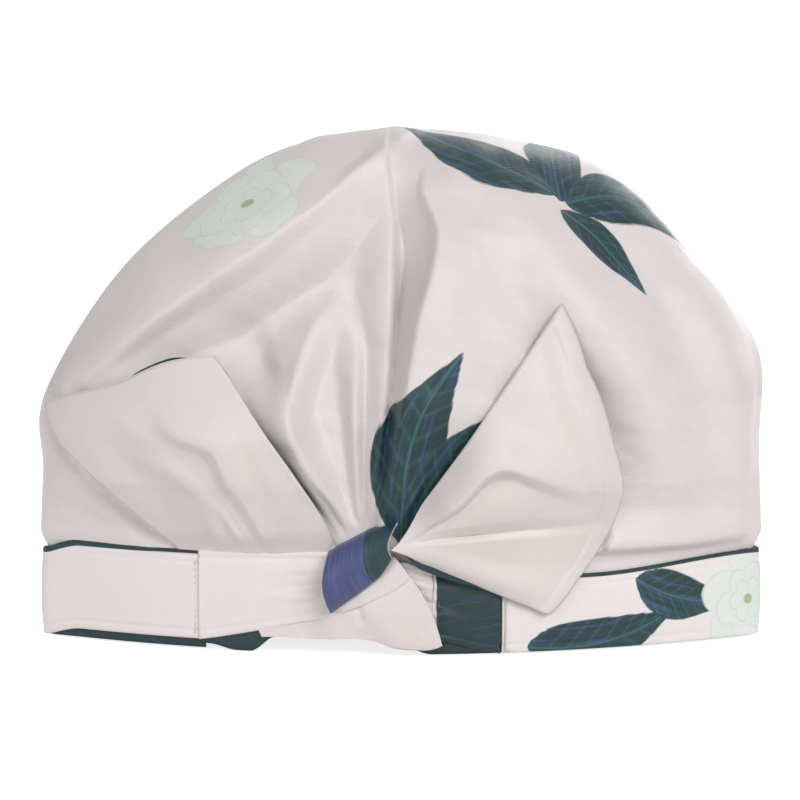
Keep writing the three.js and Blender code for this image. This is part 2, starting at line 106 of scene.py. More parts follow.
def smooth_line(points, count):
    """A Catmull-Rom line through the points, which may have any number of values each."""
    points = np.asarray(points, float)
    padded = np.vstack([points[:1], points, points[-1:]])
    at = np.linspace(0, len(points) - 1, count)
    first = np.minimum(at.astype(int), len(points) - 2)
    t = (at - first)[:, None]
    a, b, c, d = (padded[first + k] for k in range(4))
    square, cube = 2 * a - 5 * b + 4 * c - d, 3 * b - a - 3 * c + d
    return 0.5 * (2 * b + (c - a) * t + square * t**2 + cube * t**3)


def waves(count, shortest, longest, seed):
    """A sum of sine waves in the plane, as a function of two coordinates, about 1 high."""
    random = np.random.default_rng(seed)
    turns = random.uniform(0, math.pi, count)
    numbers = 2 * math.pi / random.uniform(shortest, longest, count)
    phases = random.uniform(0, 2 * math.pi, count)

    def height(u, v):
        total = np.zeros(np.broadcast(u, v).shape)
        for turn, number, phase in zip(turns, numbers, phases):
            total += np.sin(number * (u * math.cos(turn) + v * math.sin(turn)) + phase)
        return total / math.sqrt(count)

    return height


# Crown surface

left_line = smooth_line(LEFT_OUTLINE, 600)
right_line = smooth_line(RIGHT_OUTLINE, 600)


def crown_edges(z):
    left = np.interp(z, left_line[:, 1], left_line[:, 0])
    right = np.interp(z, right_line[:, 1], right_line[:, 0])
    return (left + right) / 2, (right - left) / 2


def crown_depth(z, bow, fullest):
    rise = np.maximum(z - CROWN_EDGE, 0)
    low = bow + (fullest - bow) * smoothstep(rise, 0, FULL_RISE)
    share = np.clip((rise - FULL_RISE) / (CROWN_TOP - CROWN_EDGE - FULL_RISE), 0, 1)
    return np.where(rise < FULL_RISE, low, fullest * (1 - share**DOME_POWER) ** (1 / DOME_POWER))


def ring_share(across, z):
    power = 1 - SIDE_FULLNESS * np.clip((z - CROWN_EDGE) / FOLD_RISE, 0, 1)
    return np.maximum(1 - across**2, 0) ** power


def crown_front(x, z):
    """Depth of the plain crown, or of the band below it, in front of the side folds."""
    middle, half = crown_edges(z)
    across = np.clip((x - middle) / np.maximum(half, 1), -1, 1)
    return crown_depth(z, FRONT_BOW, FRONT_DEPTH) * ring_share(across, z)


def band_front(x, half=HALF_WIDTH):
    """Depth of the band's front line, which bows out between the side folds."""
    return -FRONT_BOW * (1 - (x / half) ** 2)


# Edges of the sunken middle of the crown's front: x and z
PANEL_EDGE = [
    (-8, 40), (-7.4, 55), (-3, 70), (1, 96), (6.5, 128), (12, 148), (13.6, 162), (8.5, 175),
    (2.7, 186),
]
SLANT = [(-14, 184), (-34, 167), (-51, 154), (-76, 137), (-98, 121), (-122, 101)]

# Folds of the crown's front. Each has the form of its left and its right side, seen along its way,
# and points along it: x, z, height, width to the left and width to the right
FOLDS = [
    # Edge of the smooth right panel and of the slanting fold at the left
    (SOFT, SOFT, [
        (-8, 44, 1, 2, 10), (-7, 56, 2, 2, 14), (1, 96, 4.5, 2.5, 24), (6.5, 128, 6, 3, 34),
        (12, 148, 6.5, 3, 36), (13.6, 162, 5, 3, 32), (8.5, 175, 2.5, 3, 22),
    ]),
    (SOFT, SOFT, [
        (-20, 179, 1, 3, 14), (-51, 154, 4.5, 3, 22), (-76, 137, 5, 3, 22), (-98, 121, 4, 3, 18),
        (-120, 103, 1, 3, 12),
    ]),
    # Ridge with a crisp edge beside the deep pleat
    (SOFT, RAMP, [
        (-11, 44, 1.5, 4, 1.5), (-10, 55, 3, 5, 1.6), (-7.8, 75, 6, 8, 2), (-6.2, 95, 8, 11, 2.2),
        (-5, 120, 10, 16, 2.6), (-4.3, 150, 10.5, 20, 2.8), (-4.3, 170, 7, 16, 2.6),
        (-6, 188, 1, 10, 2),
    ]),
    # Two finger pleats that part below their shared top
    (SOFT, RAMP, [
        (-14.5, 46, 2, 3, 1.8), (-16.2, 62, 5, 5, 2.2), (-17.4, 98, 7.5, 9, 3),
        (-18.8, 119, 5.5, 12, 4.5), (-24, 134, 2.5, 10, 7), (-29, 146, 0.6, 8, 8),
    ]),
    (RAMP, SOFT, [
        (-18, 48, 2, 4, 3), (-23.6, 56, 3, 8, 3.5), (-38, 76, 7, 17, 7), (-43.6, 96, 10.5, 20, 10),
        (-39.2, 121, 8.5, 20, 14), (-33, 136, 3.5, 16, 12), (-29, 146, 0.6, 12, 10),
    ]),
    # Hollow beside the left ear
    (SOFT, SOFT, [
        (-34, 56, -0.3, 8, 6), (-48, 84, -2, 14, 8), (-58, 108, -4.5, 16, 11),
        (-68, 128, -1.5, 15, 12),
    ]),
    # Soft crease inside the slanting hollow
    (SOFT, SOFT, [(-34, 158, 1, 5, 6), (-52, 145, 3, 6, 8), (-74, 128, 3, 6, 9), (-92, 112, 1, 6, 9)]),
    # Pinch at the top
    (SOFT, RAMP, [(4, 196, 0.5, 5, 6), (-4, 190, 2.5, 5, 6), (-16, 181, 3, 5, 6), (-24, 174, 1, 5, 6)]),
    # Soft folds of the right panel
    (SOFT, SOFT, [
        (80, 178, 1, 18, 12), (104, 146, 4, 22, 14), (118, 120, 5, 22, 12), (126, 90, 4, 18, 10),
        (129, 52, 2, 13, 8),
    ]),
    (SOFT, SOFT, [
        (30, 180, 1, 18, 16), (52, 154, 5, 22, 20), (80, 120, 5, 22, 20), (98, 86, 3, 18, 17),
        (106, 58, 1, 14, 14),
    ]),
    (SOFT, SOFT, [
        (40, 140, -1, 14, 12), (62, 112, -4, 18, 14), (80, 84, -4, 16, 14), (88, 60, -1, 14, 12),
    ]),
    # Soft folds of the lower left side
    (SOFT, SOFT, [
        (-116, 58, 0.5, 6, 6), (-120, 70, 2.5, 8, 7), (-126, 86, 2, 8, 7), (-131, 104, 1, 7, 6),
    ]),
    # Hollow under the lower edge of the left ear
    (SOFT, SOFT, [
        (-135, 82, -0.5, 5, 4), (-116, 60, -2.6, 7, 6), (-98, 45, -2.6, 6, 6), (-88, 40, -1, 4, 4),
    ]),
    # Fullness over the band at the right
    (SOFT, RAMP, [(40, 43, 3, 12, 5), (75, 42, 6, 14, 5), (105, 42, 6, 14, 5), (130, 42, 2, 11, 5)]),
]

# Folds of the bow's ears, in the same form
LEFT_EAR_FOLDS = [
    (SOFT, RAMP, [
        (-92, 97, 0.5, 16, 6), (-86, 86, 2.6, 16, 4.5), (-71, 80, 3.8, 16, 4), (-66, 68, 3.8, 14, 4),
        (-55, 45, 1.6, 10, 3.5),
    ]),
    (SOFT, SOFT, [(-68, 68, -0.7, 4, 3.5), (-62, 58, -2.4, 4, 3), (-54, 42, -2.2, 3.5, 2.5)]),
    (SOFT, SOFT, [(-64, 49, 1.2, 3, 2.5), (-58, 39, 1.6, 3, 2.5)]),
    (SOFT, SOFT, [(-74, 60, 0.5, 6, 5), (-72, 50, 1.4, 6, 4), (-69, 39, 1.2, 5, 3.5)]),
    (SOFT, SOFT, [
        (-124, 92, 0.5, 10, 10), (-108, 78, -1.6, 12, 12), (-92, 62, -1.6, 12, 10),
        (-82, 46, -0.5, 9, 8),
    ]),
    (SOFT, SOFT, [(-60, 104, 0.5, 8, 8), (-48, 82, -1.2, 8, 8), (-38, 62, -1, 7, 7)]),
    (SOFT, SOFT, [(-96, 74, 0.6, 7, 6), (-84, 70, 1.5, 7, 6), (-74, 60, 0.8, 6, 5)]),
]
RIGHT_EAR_FOLDS = [
    (SOFT, RAMP, [
        (-1, 43, 1.6, 6, 1.6), (11, 52.5, 5, 12, 2.2), (21.3, 60.5, 7.5, 18, 2.8),
        (31.8, 72.5, 8.5, 22, 3.6), (40, 75, 7.5, 24, 4.5), (50, 71.5, 5, 24, 6), (70, 64, 1.2, 20, 8),
    ]),
    (RAMP, RAMP, [
        (1, 44, -1.2, 3, 1.6), (18, 46.5, -3.3, 4.4, 2), (44, 49, -2.6, 5.4, 2.6),
        (72, 50, -0.4, 5, 4),
    ]),
    (SOFT, SOFT, [
        (58, 128, 1, 10, 8), (62, 106, 2.2, 12, 8), (70, 84, 1.8, 12, 8), (78, 62, 1, 10, 7),
    ]),
    (SOFT, SOFT, [(10, 38, 1.2, 7, 6), (34, 30, 2, 9, 8), (56, 22, 0.8, 10, 9)]),
]


def beside(x, z, line):
    """How far each point lies along the chord of a line, and how far to the left of the line."""
    start = line[0, :2]
    way = line[-1, :2] - start
    way = way / np.hypot(*way)
    along = (x - start[0]) * way[0] + (z - start[1]) * way[1]
    left = (z - start[1]) * way[0] - (x - start[0]) * way[1]
    at = (line[:, :2] - start) @ way
    bend = (line[:, :2] - start) @ np.array([-way[1], way[0]])
    return along, at, left - np.interp(along, at, bend)


def side_height(share, form):
    """Height of a fold's side, from 1 at its crest to 0 at its foot."""
    rest = 1 - np.clip(share, 0, 1)
    return rest**1.25 if form == RAMP else rest**2 * (3 - 2 * rest)


def fold_height(x, z, fold):
    """Height of one fold at each point: a crest along its line, falling to its sides and past its ends."""
    left_form, right_form, points = fold
    line = smooth_line(points, 90)
    along, at, offset = beside(x, z, line)
    left = side_height(offset / np.interp(along, at, line[:, 3]), left_form)
    right = side_height(-offset / np.interp(along, at, line[:, 4]), right_form)
    ends = smoothstep(along, at[0] - FOLD_END, at[0]) * falling(along, at[-1], at[-1] + FOLD_END)
    return ends * np.interp(along, at, line[:, 2]) * np.where(offset > 0, left, right)


def sunken(x, z):
    """The middle of the front, drawn in by the knot, between the slanting fold and the right panel."""
    _, _, left_of_panel = beside(x, z, smooth_line(PANEL_EDGE, 90))
    _, _, below_slant = beside(x, z, smooth_line(SLANT, 90))
    heights = [40, 55, 70, 96, 128, 150, 162, 175, 188]
    wall_width = np.interp(z, heights, [3, 3.2, 4.8, 6.8, 9.8, 12.4, 13, 12, 10])
    wall = 1 - (1 - np.clip(left_of_panel / wall_width, 0, 1)) ** 1.1
    brow = 1 - (1 - np.clip(below_slant / 12.5, 0, 1)) ** 1.2
    depth = np.interp(z, [38, 50, 80, 120, 150, 172, 188], [0, 5, 15, 22, 24, 15, 0])
    left_share = 0.6 * smoothstep(x, -128, -90) + 0.4 * smoothstep(x, -95, -60)
    ear_edge = np.interp(z, [39, 54, 71, 94, 117], [-24, -30, -40, -55, -69.5])
    beside_ear = falling(x - ear_edge, -2, 18) * falling(z, 96, 124)
    return -depth * wall * brow * left_share * (1 - 0.6 * beside_ear)


def knot_gathers(x, z):
    """Small pleats that fan out from behind the knot."""
    from_x, from_z = x - GATHER_X, z - GATHER_Z
    angle, reach = np.arctan2(from_x, from_z), np.hypot(from_x, from_z)
    fade = smoothstep(reach, 16, 26) * falling(reach, 34, 70) * falling(np.abs(angle), 0.7, 1.1)
    return 0.4 * fade * (np.cos(angle * 46 + 0.6) + 0.5 * np.cos(angle * 71 + 2.0))


small_waves = waves(14, 16, 42, 3)
fine_waves = waves(16, 6, 14, 8)


def fold_heights(x, z, folds):
    return sum(fold_height(x, z, fold) for fold in folds)


# Meshes

SKEW_DIRECTION = (0.31, -0.83, 0.46)  # no thread runs along it
TUBE_SIDES = 8


def mesh_object(name, vertices, faces, material):
    """A smooth mesh in the scene, from points in millimetres."""
    mesh = bpy.data.meshes.new(name)
    mesh.from_pydata((vertices * MM).tolist(), [], faces)
    mesh.polygons.foreach_set("use_smooth", [True] * len(mesh.polygons))
    mesh.materials.append(material)
    mesh.update()
    made = bpy.data.objects.new(name, mesh)
    bpy.context.scene.collection.objects.link(made)
    return made


def grid_object(name, points, uvs, material, ring=False, pole=None, thickness=CLOTH, offset=-1.0):
    """Cloth over a grid of points, rows by columns. A ring joins its last column to its first."""
    rows, columns = points.shape[:2]
    spans = columns if ring else columns - 1
    row, column = np.meshgrid(np.arange(rows - 1), np.arange(spans), indexing="ij")
    corners = [(row, column), (row, column + 1), (row + 1, column + 1), (row + 1, column)]
    faces = np.stack([r * columns + c % columns for r, c in corners], -1).reshape(-1, 4).tolist()
    coordinates = np.stack([uvs[r, c] for r, c in corners], -2).reshape(-1, 2)
    vertices = points.reshape(-1, 3)
    if pole is not None:
        top, top_uv = pole
        vertices = np.vstack([vertices, top])
        last = (rows - 1) * columns
        faces += [[last + j, last + (j + 1) % columns, rows * columns] for j in range(spans)]
        caps = [[uvs[-1, j], uvs[-1, j + 1], top_uv] for j in range(spans)]
        coordinates = np.vstack([coordinates, np.reshape(caps, (-1, 2))])
    made = mesh_object(name, vertices, faces, material)
    layer = made.data.uv_layers.new(name="cloth")
    layer.data.foreach_set("uv", coordinates.astype(np.float32).ravel())
    if thickness:
        solid = made.modifiers.new("thickness", "SOLIDIFY")
        solid.thickness = thickness * MM
        solid.offset = offset
        solid.use_even_offset = False
    return made


def grid_normals(points, ring=False):
    """Unit normals of a grid, right-handed from columns to rows."""
    if ring:
        wrapped = np.concatenate([points[:, -1:], points, points[:, :1]], axis=1)
        across = (wrapped[:, 2:] - wrapped[:, :-2]) / 2
    else:
        across = np.gradient(points, axis=1)
    normal = np.cross(across, np.gradient(points, axis=0))
    return normal / np.maximum(np.linalg.norm(normal, axis=-1, keepdims=True), 1e-9)


def tube_faces(rings, sides, start=0):
    """Faces of a tube with closed ends, over rings of points."""
    faces = []
    for low in range(start, start + (rings - 1) * sides, sides):
        for j in range(sides):
            after = (j + 1) % sides
            faces.append([low + j, low + after, low + sides + after, low + sides + j])
    last = start + (rings - 1) * sides
    return [*faces, list(range(start, start + sides))[::-1], list(range(last, last + sides))]


def circle(sides):
    return np.linspace(0, 2 * math.pi, sides, endpoint=False)[:, None]


def tube_object(name, path, radius, material):
    """A round thread along a path of points."""
    path = np.asarray(path, float)
    along = unit(np.gradient(path, axis=0))
    side = unit(np.cross(along, SKEW_DIRECTION))[:, None]
    other = np.cross(along[:, None], side)
    turn = circle(TUBE_SIDES)
    rings = path[:, None] + radius * (np.cos(turn) * side + np.sin(turn) * other)
    return mesh_object(name, rings.reshape(-1, 3), tube_faces(len(path), TUBE_SIDES), material)


# Materials

BLUSH = (0.785, 0.73, 0.717)
# The crown's blush made lighter for the band, the left tie and the knot core: painted light, for the light
# on the band's front
BAND_BLUSH_WITH_PAINTED_LIGHT = (0.85, 0.795, 0.782)
BOW_BLUSH = (0.80, 0.732, 0.716)
LINING_WHITE = (0.82, 0.79, 0.76)
TEAL = (0.012, 0.038, 0.036)
TEAL_LIGHT = (0.016, 0.074, 0.074)
TEAL_PALE = (0.065, 0.19, 0.19)
NAVY = (0.020, 0.032, 0.054)
POLLEN = (0.40, 0.50, 0.30)
INDIGO = (0.072, 0.080, 0.235)
INDIGO_DEEP = (0.045, 0.070, 0.150)
INDIGO_PALE = (0.16, 0.16, 0.33)
BLOSSOM = (0.80, 0.82, 0.79)
MINT = (0.50, 0.69, 0.56)
THREAD = (0.68, 0.62, 0.59)
ELASTIC_WHITE = (0.82, 0.80, 0.77)

# Weave and print. A leaf's bend, ragged edge and step of veins are shares of its length or width
RIB_SPACING = 0.85
WRAP_WIDTH = 28.0
STROKE_ALONG = 0.045  # turns of the strokes' pattern in a millimetre
STROKE_ACROSS = 0.55
LEAF_BEND = 0.09
LEAF_FULLNESS = 0.72
LEAF_RAGGED = 0.09
VEIN_STEP = 0.12
MIDRIB = 0.4
PETAL_LINE = 0.3


class Graph:
    """Short ways to add and join shader nodes."""

    def __init__(self, tree):
        self.tree = tree

    def add(self, kind, values=(), **settings):
        node = self.tree.nodes.new(kind)
        for name, value in settings.items():
            setattr(node, name, value)
        for socket, value in values:
            self.put(node.inputs[socket], value)
        return node

    def put(self, socket, value):
        if isinstance(value, bpy.types.NodeSocket):
            self.tree.links.new(value, socket)
        elif isinstance(value, tuple) and len(value) == 3 and socket.type == "RGBA":
            socket.default_value = (*value, 1)
        else:
            socket.default_value = value

    def math(self, operation, *values):
        return self.add("ShaderNodeMath", list(enumerate(values)), operation=operation).outputs[0]

    def minus(self, a, b):
        return self.math("SUBTRACT", a, b)

    def times(self, a, b):
        return self.math("MULTIPLY", a, b)

    def fused(self, a, b, c):
        return self.math("MULTIPLY_ADD", a, b, c)

    def size(self, a):
        return self.math("ABSOLUTE", a)

    def mix(self, share, a, b):
        node = self.add("ShaderNodeMix", data_type="RGBA")
        self.put(node.inputs[0], share)
        self.put(node.inputs[6], a)
        self.put(node.inputs[7], b)
        return node.outputs[2]

    def edge(self, inside, softness=0.35):
        """1 where the value is above zero, with a soft edge."""
        return self.add("ShaderNodeMapRange", [(0, inside), (1, -softness), (2, softness)]).outputs[0]

    def above(self, value, limit, softness):
        return self.edge(self.minus(value, limit), softness)

    def noise(self, vector, scale, detail=2.0):
        values = [("Vector", vector), ("Scale", scale), ("Detail", detail)]
        return self.add("ShaderNodeTexNoise", values).outputs[0]

    def point(self, x, y, z):
        return self.add("ShaderNodeCombineXYZ", [(0, x), (1, y), (2, z)]).outputs[0]


def cloth_plane(graph):
    """Coordinates in the cloth, in millimetres."""
    uv = graph.add("ShaderNodeUVMap", uv_map="cloth").outputs[0]
    parts = graph.add("ShaderNodeSeparateXYZ", [(0, uv)])
    return uv, parts.outputs[0], parts.outputs[1]


def turned(graph, u, v, centre, degrees):
    """Coordinates from a centre, with the first along the direction given."""
    du = graph.minus(u, centre[0])
    dv = graph.minus(v, centre[1])
    c, s = math.cos(math.radians(degrees)), math.sin(math.radians(degrees))
    return graph.fused(du, c, graph.times(dv, s)), graph.fused(dv, c, graph.times(du, -s))


def brush(graph, along, across, seed):
    """Strokes of a brush along a direction, from 0 to 1."""
    place = graph.point(graph.times(along, STROKE_ALONG), graph.times(across, STROKE_ACROSS), seed)
    return graph.noise(place, 1.0, 4.0)


def leaf_paint(graph, colour, u, v, base, degrees, length, width):
    """One pointed leaf in brush strokes, with a pale midrib and faint side veins."""
    along, across = turned(graph, u, v, base, degrees)
    curve = graph.math("SINE", graph.times(along, math.pi / length))
    bent = graph.fused(curve, -LEAF_BEND * length, across)
    from_midrib = graph.size(bent)
    strokes = brush(graph, along, bent, base[0] + degrees)
    share = graph.math("DIVIDE", along, length)
    swell = graph.math("POWER", graph.math("MAXIMUM", share, 0.0), LEAF_FULLNESS)
    rise = graph.math("SINE", graph.times(swell, math.pi))
    ragged = graph.times(graph.minus(strokes, 0.5), LEAF_RAGGED * width)
    inside = graph.minus(graph.fused(rise, width / 2, ragged), from_midrib)
    in_length = graph.math("LESS_THAN", graph.size(graph.minus(share, 0.5)), 0.5)
    within = graph.times(graph.edge(inside), in_length)
    vein_turn = graph.times(graph.fused(from_midrib, -1.0, along), 2 * math.pi / (VEIN_STEP * length))
    veins = graph.math("SINE", graph.fused(strokes, 2.2, vein_turn))
    faint = graph.times(graph.above(veins, 0.80, 0.25), graph.times(strokes, 0.5))
    midrib = graph.edge(graph.minus(MIDRIB, from_midrib), MIDRIB)
    dark = graph.mix(graph.above(strokes, 0.54, 0.10), TEAL, NAVY)
    upper_side = graph.times(graph.edge(bent, 0.6 * width), graph.above(strokes, 0.46, 0.14))
    lit = graph.mix(upper_side, dark, TEAL_LIGHT)
    lit = graph.mix(graph.times(graph.above(strokes, 0.60, 0.06), 0.7), lit, INDIGO)
    pale = graph.math("MAXIMUM", faint, graph.times(midrib, 0.7))
    return graph.mix(within, colour, graph.mix(pale, lit, TEAL_PALE))


def blossom_paint(graph, colour, u, v, centre, radius, petals, degrees):
    """An open flower: three rings of round petals with fine outlines and veins, and a heart."""
    along, across = turned(graph, u, v, centre, degrees)
    distance = graph.math("SQRT", graph.fused(along, along, graph.times(across, across)))
    place = graph.point(graph.times(along, 0.06), graph.times(across, 0.06), centre[0] * 0.7)
    wobble = graph.minus(graph.noise(place, 1.0, 1.0), 0.5)
    angle = graph.fused(wobble, 1.3, graph.math("ARCTAN2", across, along))
    for size, shift in [(radius, 0.0), (radius * 0.70, math.pi / petals), (radius * 0.42, 0.4)]:
        half = graph.times(graph.math("ADD", angle, shift), petals / 2)
        lobe = graph.size(graph.math("COSINE", half))
        limit = graph.fused(graph.math("POWER", lobe, 0.55), 0.34 * size, 0.66 * size)
        limit = graph.fused(wobble, 0.6 * size, limit)
        inside = graph.minus(limit, distance)
        rim = graph.size(graph.minus(inside, PETAL_LINE))
        line = graph.math("MINIMUM", rim, graph.times(lobe, distance))
        outline = graph.edge(graph.minus(0.28, line), PETAL_LINE)
        vein = graph.math("SINE", graph.times(angle, 9.0 * petals))
        veined = graph.times(graph.above(vein, 0.8, 0.2), 0.10)
        outward = graph.math("POWER", graph.math("DIVIDE", distance, limit), 3.0)
        tint = graph.math("ADD", veined, graph.times(graph.minus(1.0, outward), 0.10))
        petal = graph.mix(graph.times(outline, 0.75), graph.mix(tint, BLOSSOM, MINT), MINT)
        colour = graph.mix(graph.edge(inside), colour, petal)
    heart = graph.edge(graph.fused(wobble, 2.0, graph.minus(radius * 0.10, distance)))
    return graph.mix(heart, colour, POLLEN)


def weave_bump(graph, uv, rib_degrees):
    """Fine ribs of the weave and the faint crumple of coated cloth."""
    place, u, v = uv
    _, across = turned(graph, u, v, (0, 0), rib_degrees)
    ribs = graph.math("SINE", graph.times(across, 2 * math.pi / RIB_SPACING))
    crumple = graph.noise(place, 0.09, 4.0)
    grain = graph.noise(place, 1.6, 2.0)
    height = graph.fused(ribs, 0.06, graph.fused(crumple, 0.6, graph.times(grain, 0.12)))
    values = [("Height", height), ("Strength", 0.55), ("Distance", 0.7 * MM)]
    return graph.add("ShaderNodeBump", values).outputs[0]


def cloth_material(name, colour, paint=None, rib_degrees=0.0):
    material = bpy.data.materials.new(name)
    material.use_nodes = True
    graph = Graph(material.node_tree)
    shader = material.node_tree.nodes["Principled BSDF"]
    uv = cloth_plane(graph)
    if paint:
        colour = paint(graph, colour, *uv[1:])
    graph.put(shader.inputs["Base Color"], colour)
    graph.put(shader.inputs["Normal"], weave_bump(graph, uv, rib_degrees))
    shader.inputs["Roughness"].default_value = 0.42
    shader.inputs["Specular IOR Level"].default_value = 0.32
    shader.inputs["Sheen Weight"].default_value = 0.05
    shader.inputs["Sheen Roughness"].default_value = 0.4
    return material


# Printed motifs: a leaf has its base, direction, length and width, and a blossom its centre, radius,
# number of petals and turn
CROWN_LEAVES = [
    ((0, -52), 74, 84, 27), ((3, -52), 52, 70, 22),
    ((58, 100), 152, 66, 24), ((60, 98), 84, 58, 22), ((62, 98), 22, 60, 22), ((60, 94), -36, 40, 16),
    ((-40, 190), 160, 74, 28), ((-38, 188), 205, 60, 24),
    ((30, 240), 30, 80, 28), ((34, 236), -20, 64, 24),
]
CROWN_BLOSSOMS = [((-58, 104), 25, 5, 20), ((-30, 262), 30, 5, 0), ((70, 300), 28, 6, 40)]
BAND_LEAVES = [
    ((330, 2), 168, 62, 24), ((286, 30), 200, 44, 20), ((130, 2), 168, 62, 24),
    ((86, 30), 200, 44, 20),
]
BAND_BLOSSOMS = [((236, 15), 22, 6, 12), ((20, 16), 22, 5, 40)]


def printed(leaves, blossoms):
    """The paint of a printed cloth."""
    def paint(graph, colour, u, v):
        for leaf in leaves:
            colour = leaf_paint(graph, colour, u, v, *leaf)
        for blossom in blossoms:
            colour = blossom_paint(graph, colour, u, v, *blossom)
        return colour
    return paint


def dark_paint(graph, colour, u, v):
    strokes = brush(graph, *turned(graph, u, v, (0, 0), 20), 3.0)
    deep = graph.mix(graph.above(strokes, 0.52, 0.12), colour, NAVY)
    return graph.mix(graph.above(strokes, 0.62, 0.08), deep, TEAL_LIGHT)


def tie_paint(graph, colour, u, v):
    """Dark print that ends in a ragged edge, with the pale cloth beyond it."""
    ragged = graph.fused(brush(graph, v, u, 9.0), 9.0, u)
    return graph.mix(graph.above(ragged, 1.5, 0.5), BLUSH, dark_paint(graph, colour, u, v))


def indigo_paint(graph, colour, u, v):
    """Strokes across the strip, a darker end, and a pale turned edge at both sides."""
    strokes = brush(graph, u, v, 5.0)
    fine = brush(graph, u, graph.times(v, 5.0), 2.0)
    tone = graph.mix(graph.above(strokes, 0.5, 0.14), colour, INDIGO_DEEP)
    tone = graph.mix(graph.times(graph.above(fine, 0.55, 0.12), 0.45), tone, INDIGO_PALE)
    end = graph.above(graph.fused(strokes, 6.0, v), 21.5, 0.8)
    tone = graph.mix(end, tone, graph.mix(graph.above(fine, 0.5, 0.1), NAVY, TEAL_LIGHT))
    from_middle = graph.size(graph.minus(v, WRAP_WIDTH / 2))
    return graph.mix(graph.above(from_middle, WRAP_WIDTH / 2 - 0.7, 0.2), tone, BLUSH)


def plain_material(name, colour, roughness):
    material = bpy.data.materials.new(name)
    material.use_nodes = True
    shader = material.node_tree.nodes["Principled BSDF"]
    shader.inputs["Base Color"].default_value = (*colour, 1)
    shader.inputs["Roughness"].default_value = roughness
    shader.inputs["Specular IOR Level"].default_value = 0.4
    return material


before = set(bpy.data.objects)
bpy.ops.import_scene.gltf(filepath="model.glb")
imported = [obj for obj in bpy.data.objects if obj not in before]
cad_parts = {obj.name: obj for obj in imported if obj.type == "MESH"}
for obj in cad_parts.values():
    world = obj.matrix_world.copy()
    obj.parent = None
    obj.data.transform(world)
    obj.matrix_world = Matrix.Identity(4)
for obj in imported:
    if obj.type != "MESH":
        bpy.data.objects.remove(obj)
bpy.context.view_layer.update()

crown_cloth = cloth_material("crown_cloth", BLUSH, printed(CROWN_LEAVES, CROWN_BLOSSOMS), 20)
# The band's cloth and the plain cloth take the lighter blush, with its painted light
band_cloth = cloth_material("band_cloth", BAND_BLUSH_WITH_PAINTED_LIGHT, printed(BAND_LEAVES, BAND_BLOSSOMS), 90)
plain_cloth = cloth_material("plain_cloth", BAND_BLUSH_WITH_PAINTED_LIGHT, None, 90)
bow_cloth = cloth_material("bow_cloth", BOW_BLUSH, None, 78)
dark_cloth = cloth_material("dark_cloth", TEAL, dark_paint, 35)
tie_cloth = cloth_material("tie_cloth", TEAL, tie_paint, 35)
indigo_cloth = cloth_material("indigo_cloth", INDIGO, indigo_paint, 90)
lining_film = plain_material("lining_film", LINING_WHITE, 0.38)
elastic_web = plain_material("elastic_web", ELASTIC_WHITE, 0.8)
thread = plain_material("thread", THREAD, 0.6)


# Bow: each flap is a grid of front-view points, with its depth from the crown under it

LEAST_LIFT = 1.6  # least height of an ear over the crown
LAYER_GAP = 1.1  # widest gap between the layers of a flap
LEFT_LAYER_GAP = 1.7
LEFT_PEEK = 1.5  # how far the back layer of an ear shows past its front one
RIGHT_PEEK = -3.4
SEAM_RADIUS = 0.30
FAN_X, FAN_Y, FAN_Z = -4.0, -55.5, 42.0  # root of the right ear
FAN_LOW, FAN_HIGH = -24.0, 55.6  # its first and last direction, in degrees
FAN_START = 0.4
FAN_REACH = np.array([
    (-25, 64), (-23, 66.3), (-10.3, 72.7), (6.7, 85.6), (14, 90.5), (26.8, 93), (43.8, 101), (55.6, 113),
])


def arc_uv(points):
    """Coordinates in the cloth from the lengths along the rows and columns of a grid."""
    rows, columns = points.shape[:2]
    across = np.linalg.norm(np.diff(points, axis=1), axis=-1)
    up = np.linalg.norm(np.diff(points, axis=0), axis=-1)
    u = np.concatenate([np.zeros((rows, 1)), np.cumsum(across, axis=1)], axis=1)
    v = np.concatenate([np.zeros((1, columns)), np.cumsum(up, axis=0)], axis=0)
    return stacked(u - u[:, columns // 2, None], v)


def flap_layers(name, front, peek=0.0, gap=LAYER_GAP):
    """The two layers of a flap, the back one behind the front one by a gap that closes at the edges.

    The peek, in millimetres up or down, shows the back layer past the front one's edge."""
    rows, columns = front.shape[:2]
    normal = grid_normals(front)
    if normal[rows // 2, columns // 2, 1] > 0:
        normal = -normal
    row, column = np.arange(rows), np.arange(columns)
    from_ends = np.minimum(row + 4, rows - 1 - row)
    from_sides = np.minimum(column, columns - 1 - column)
    edge = np.minimum.outer(from_ends, from_sides).astype(float)
    back = front - normal * (CLOTH + 0.25 + gap * smoothstep(edge, 0, 5))[..., None]
    back[..., 2] += peek
    uv = arc_uv(front)
    face = grid_object(f"{name}_front_cloth", front, uv, bow_cloth)
    rear = grid_object(f"{name}_back_cloth", back, uv, dark_cloth)
    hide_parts(f"{name}_front")
    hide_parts(f"{name}_back")
    return (face, rear), back


def between(low, high, rows, columns, rounding=0.0):
    """A grid between two lines of points, with rows along them and its corners at the end rounded."""
    a = smooth_line(low, rows)[:, None]
    b = smooth_line(high, rows)[:, None]
    along, across = shares(rows, columns)
    narrowing = rounding * smoothstep(along, 0.9, 1) ** 2
    across = narrowing + (1 - 2 * narrowing) * across
    return a + (b - a) * across[..., None]


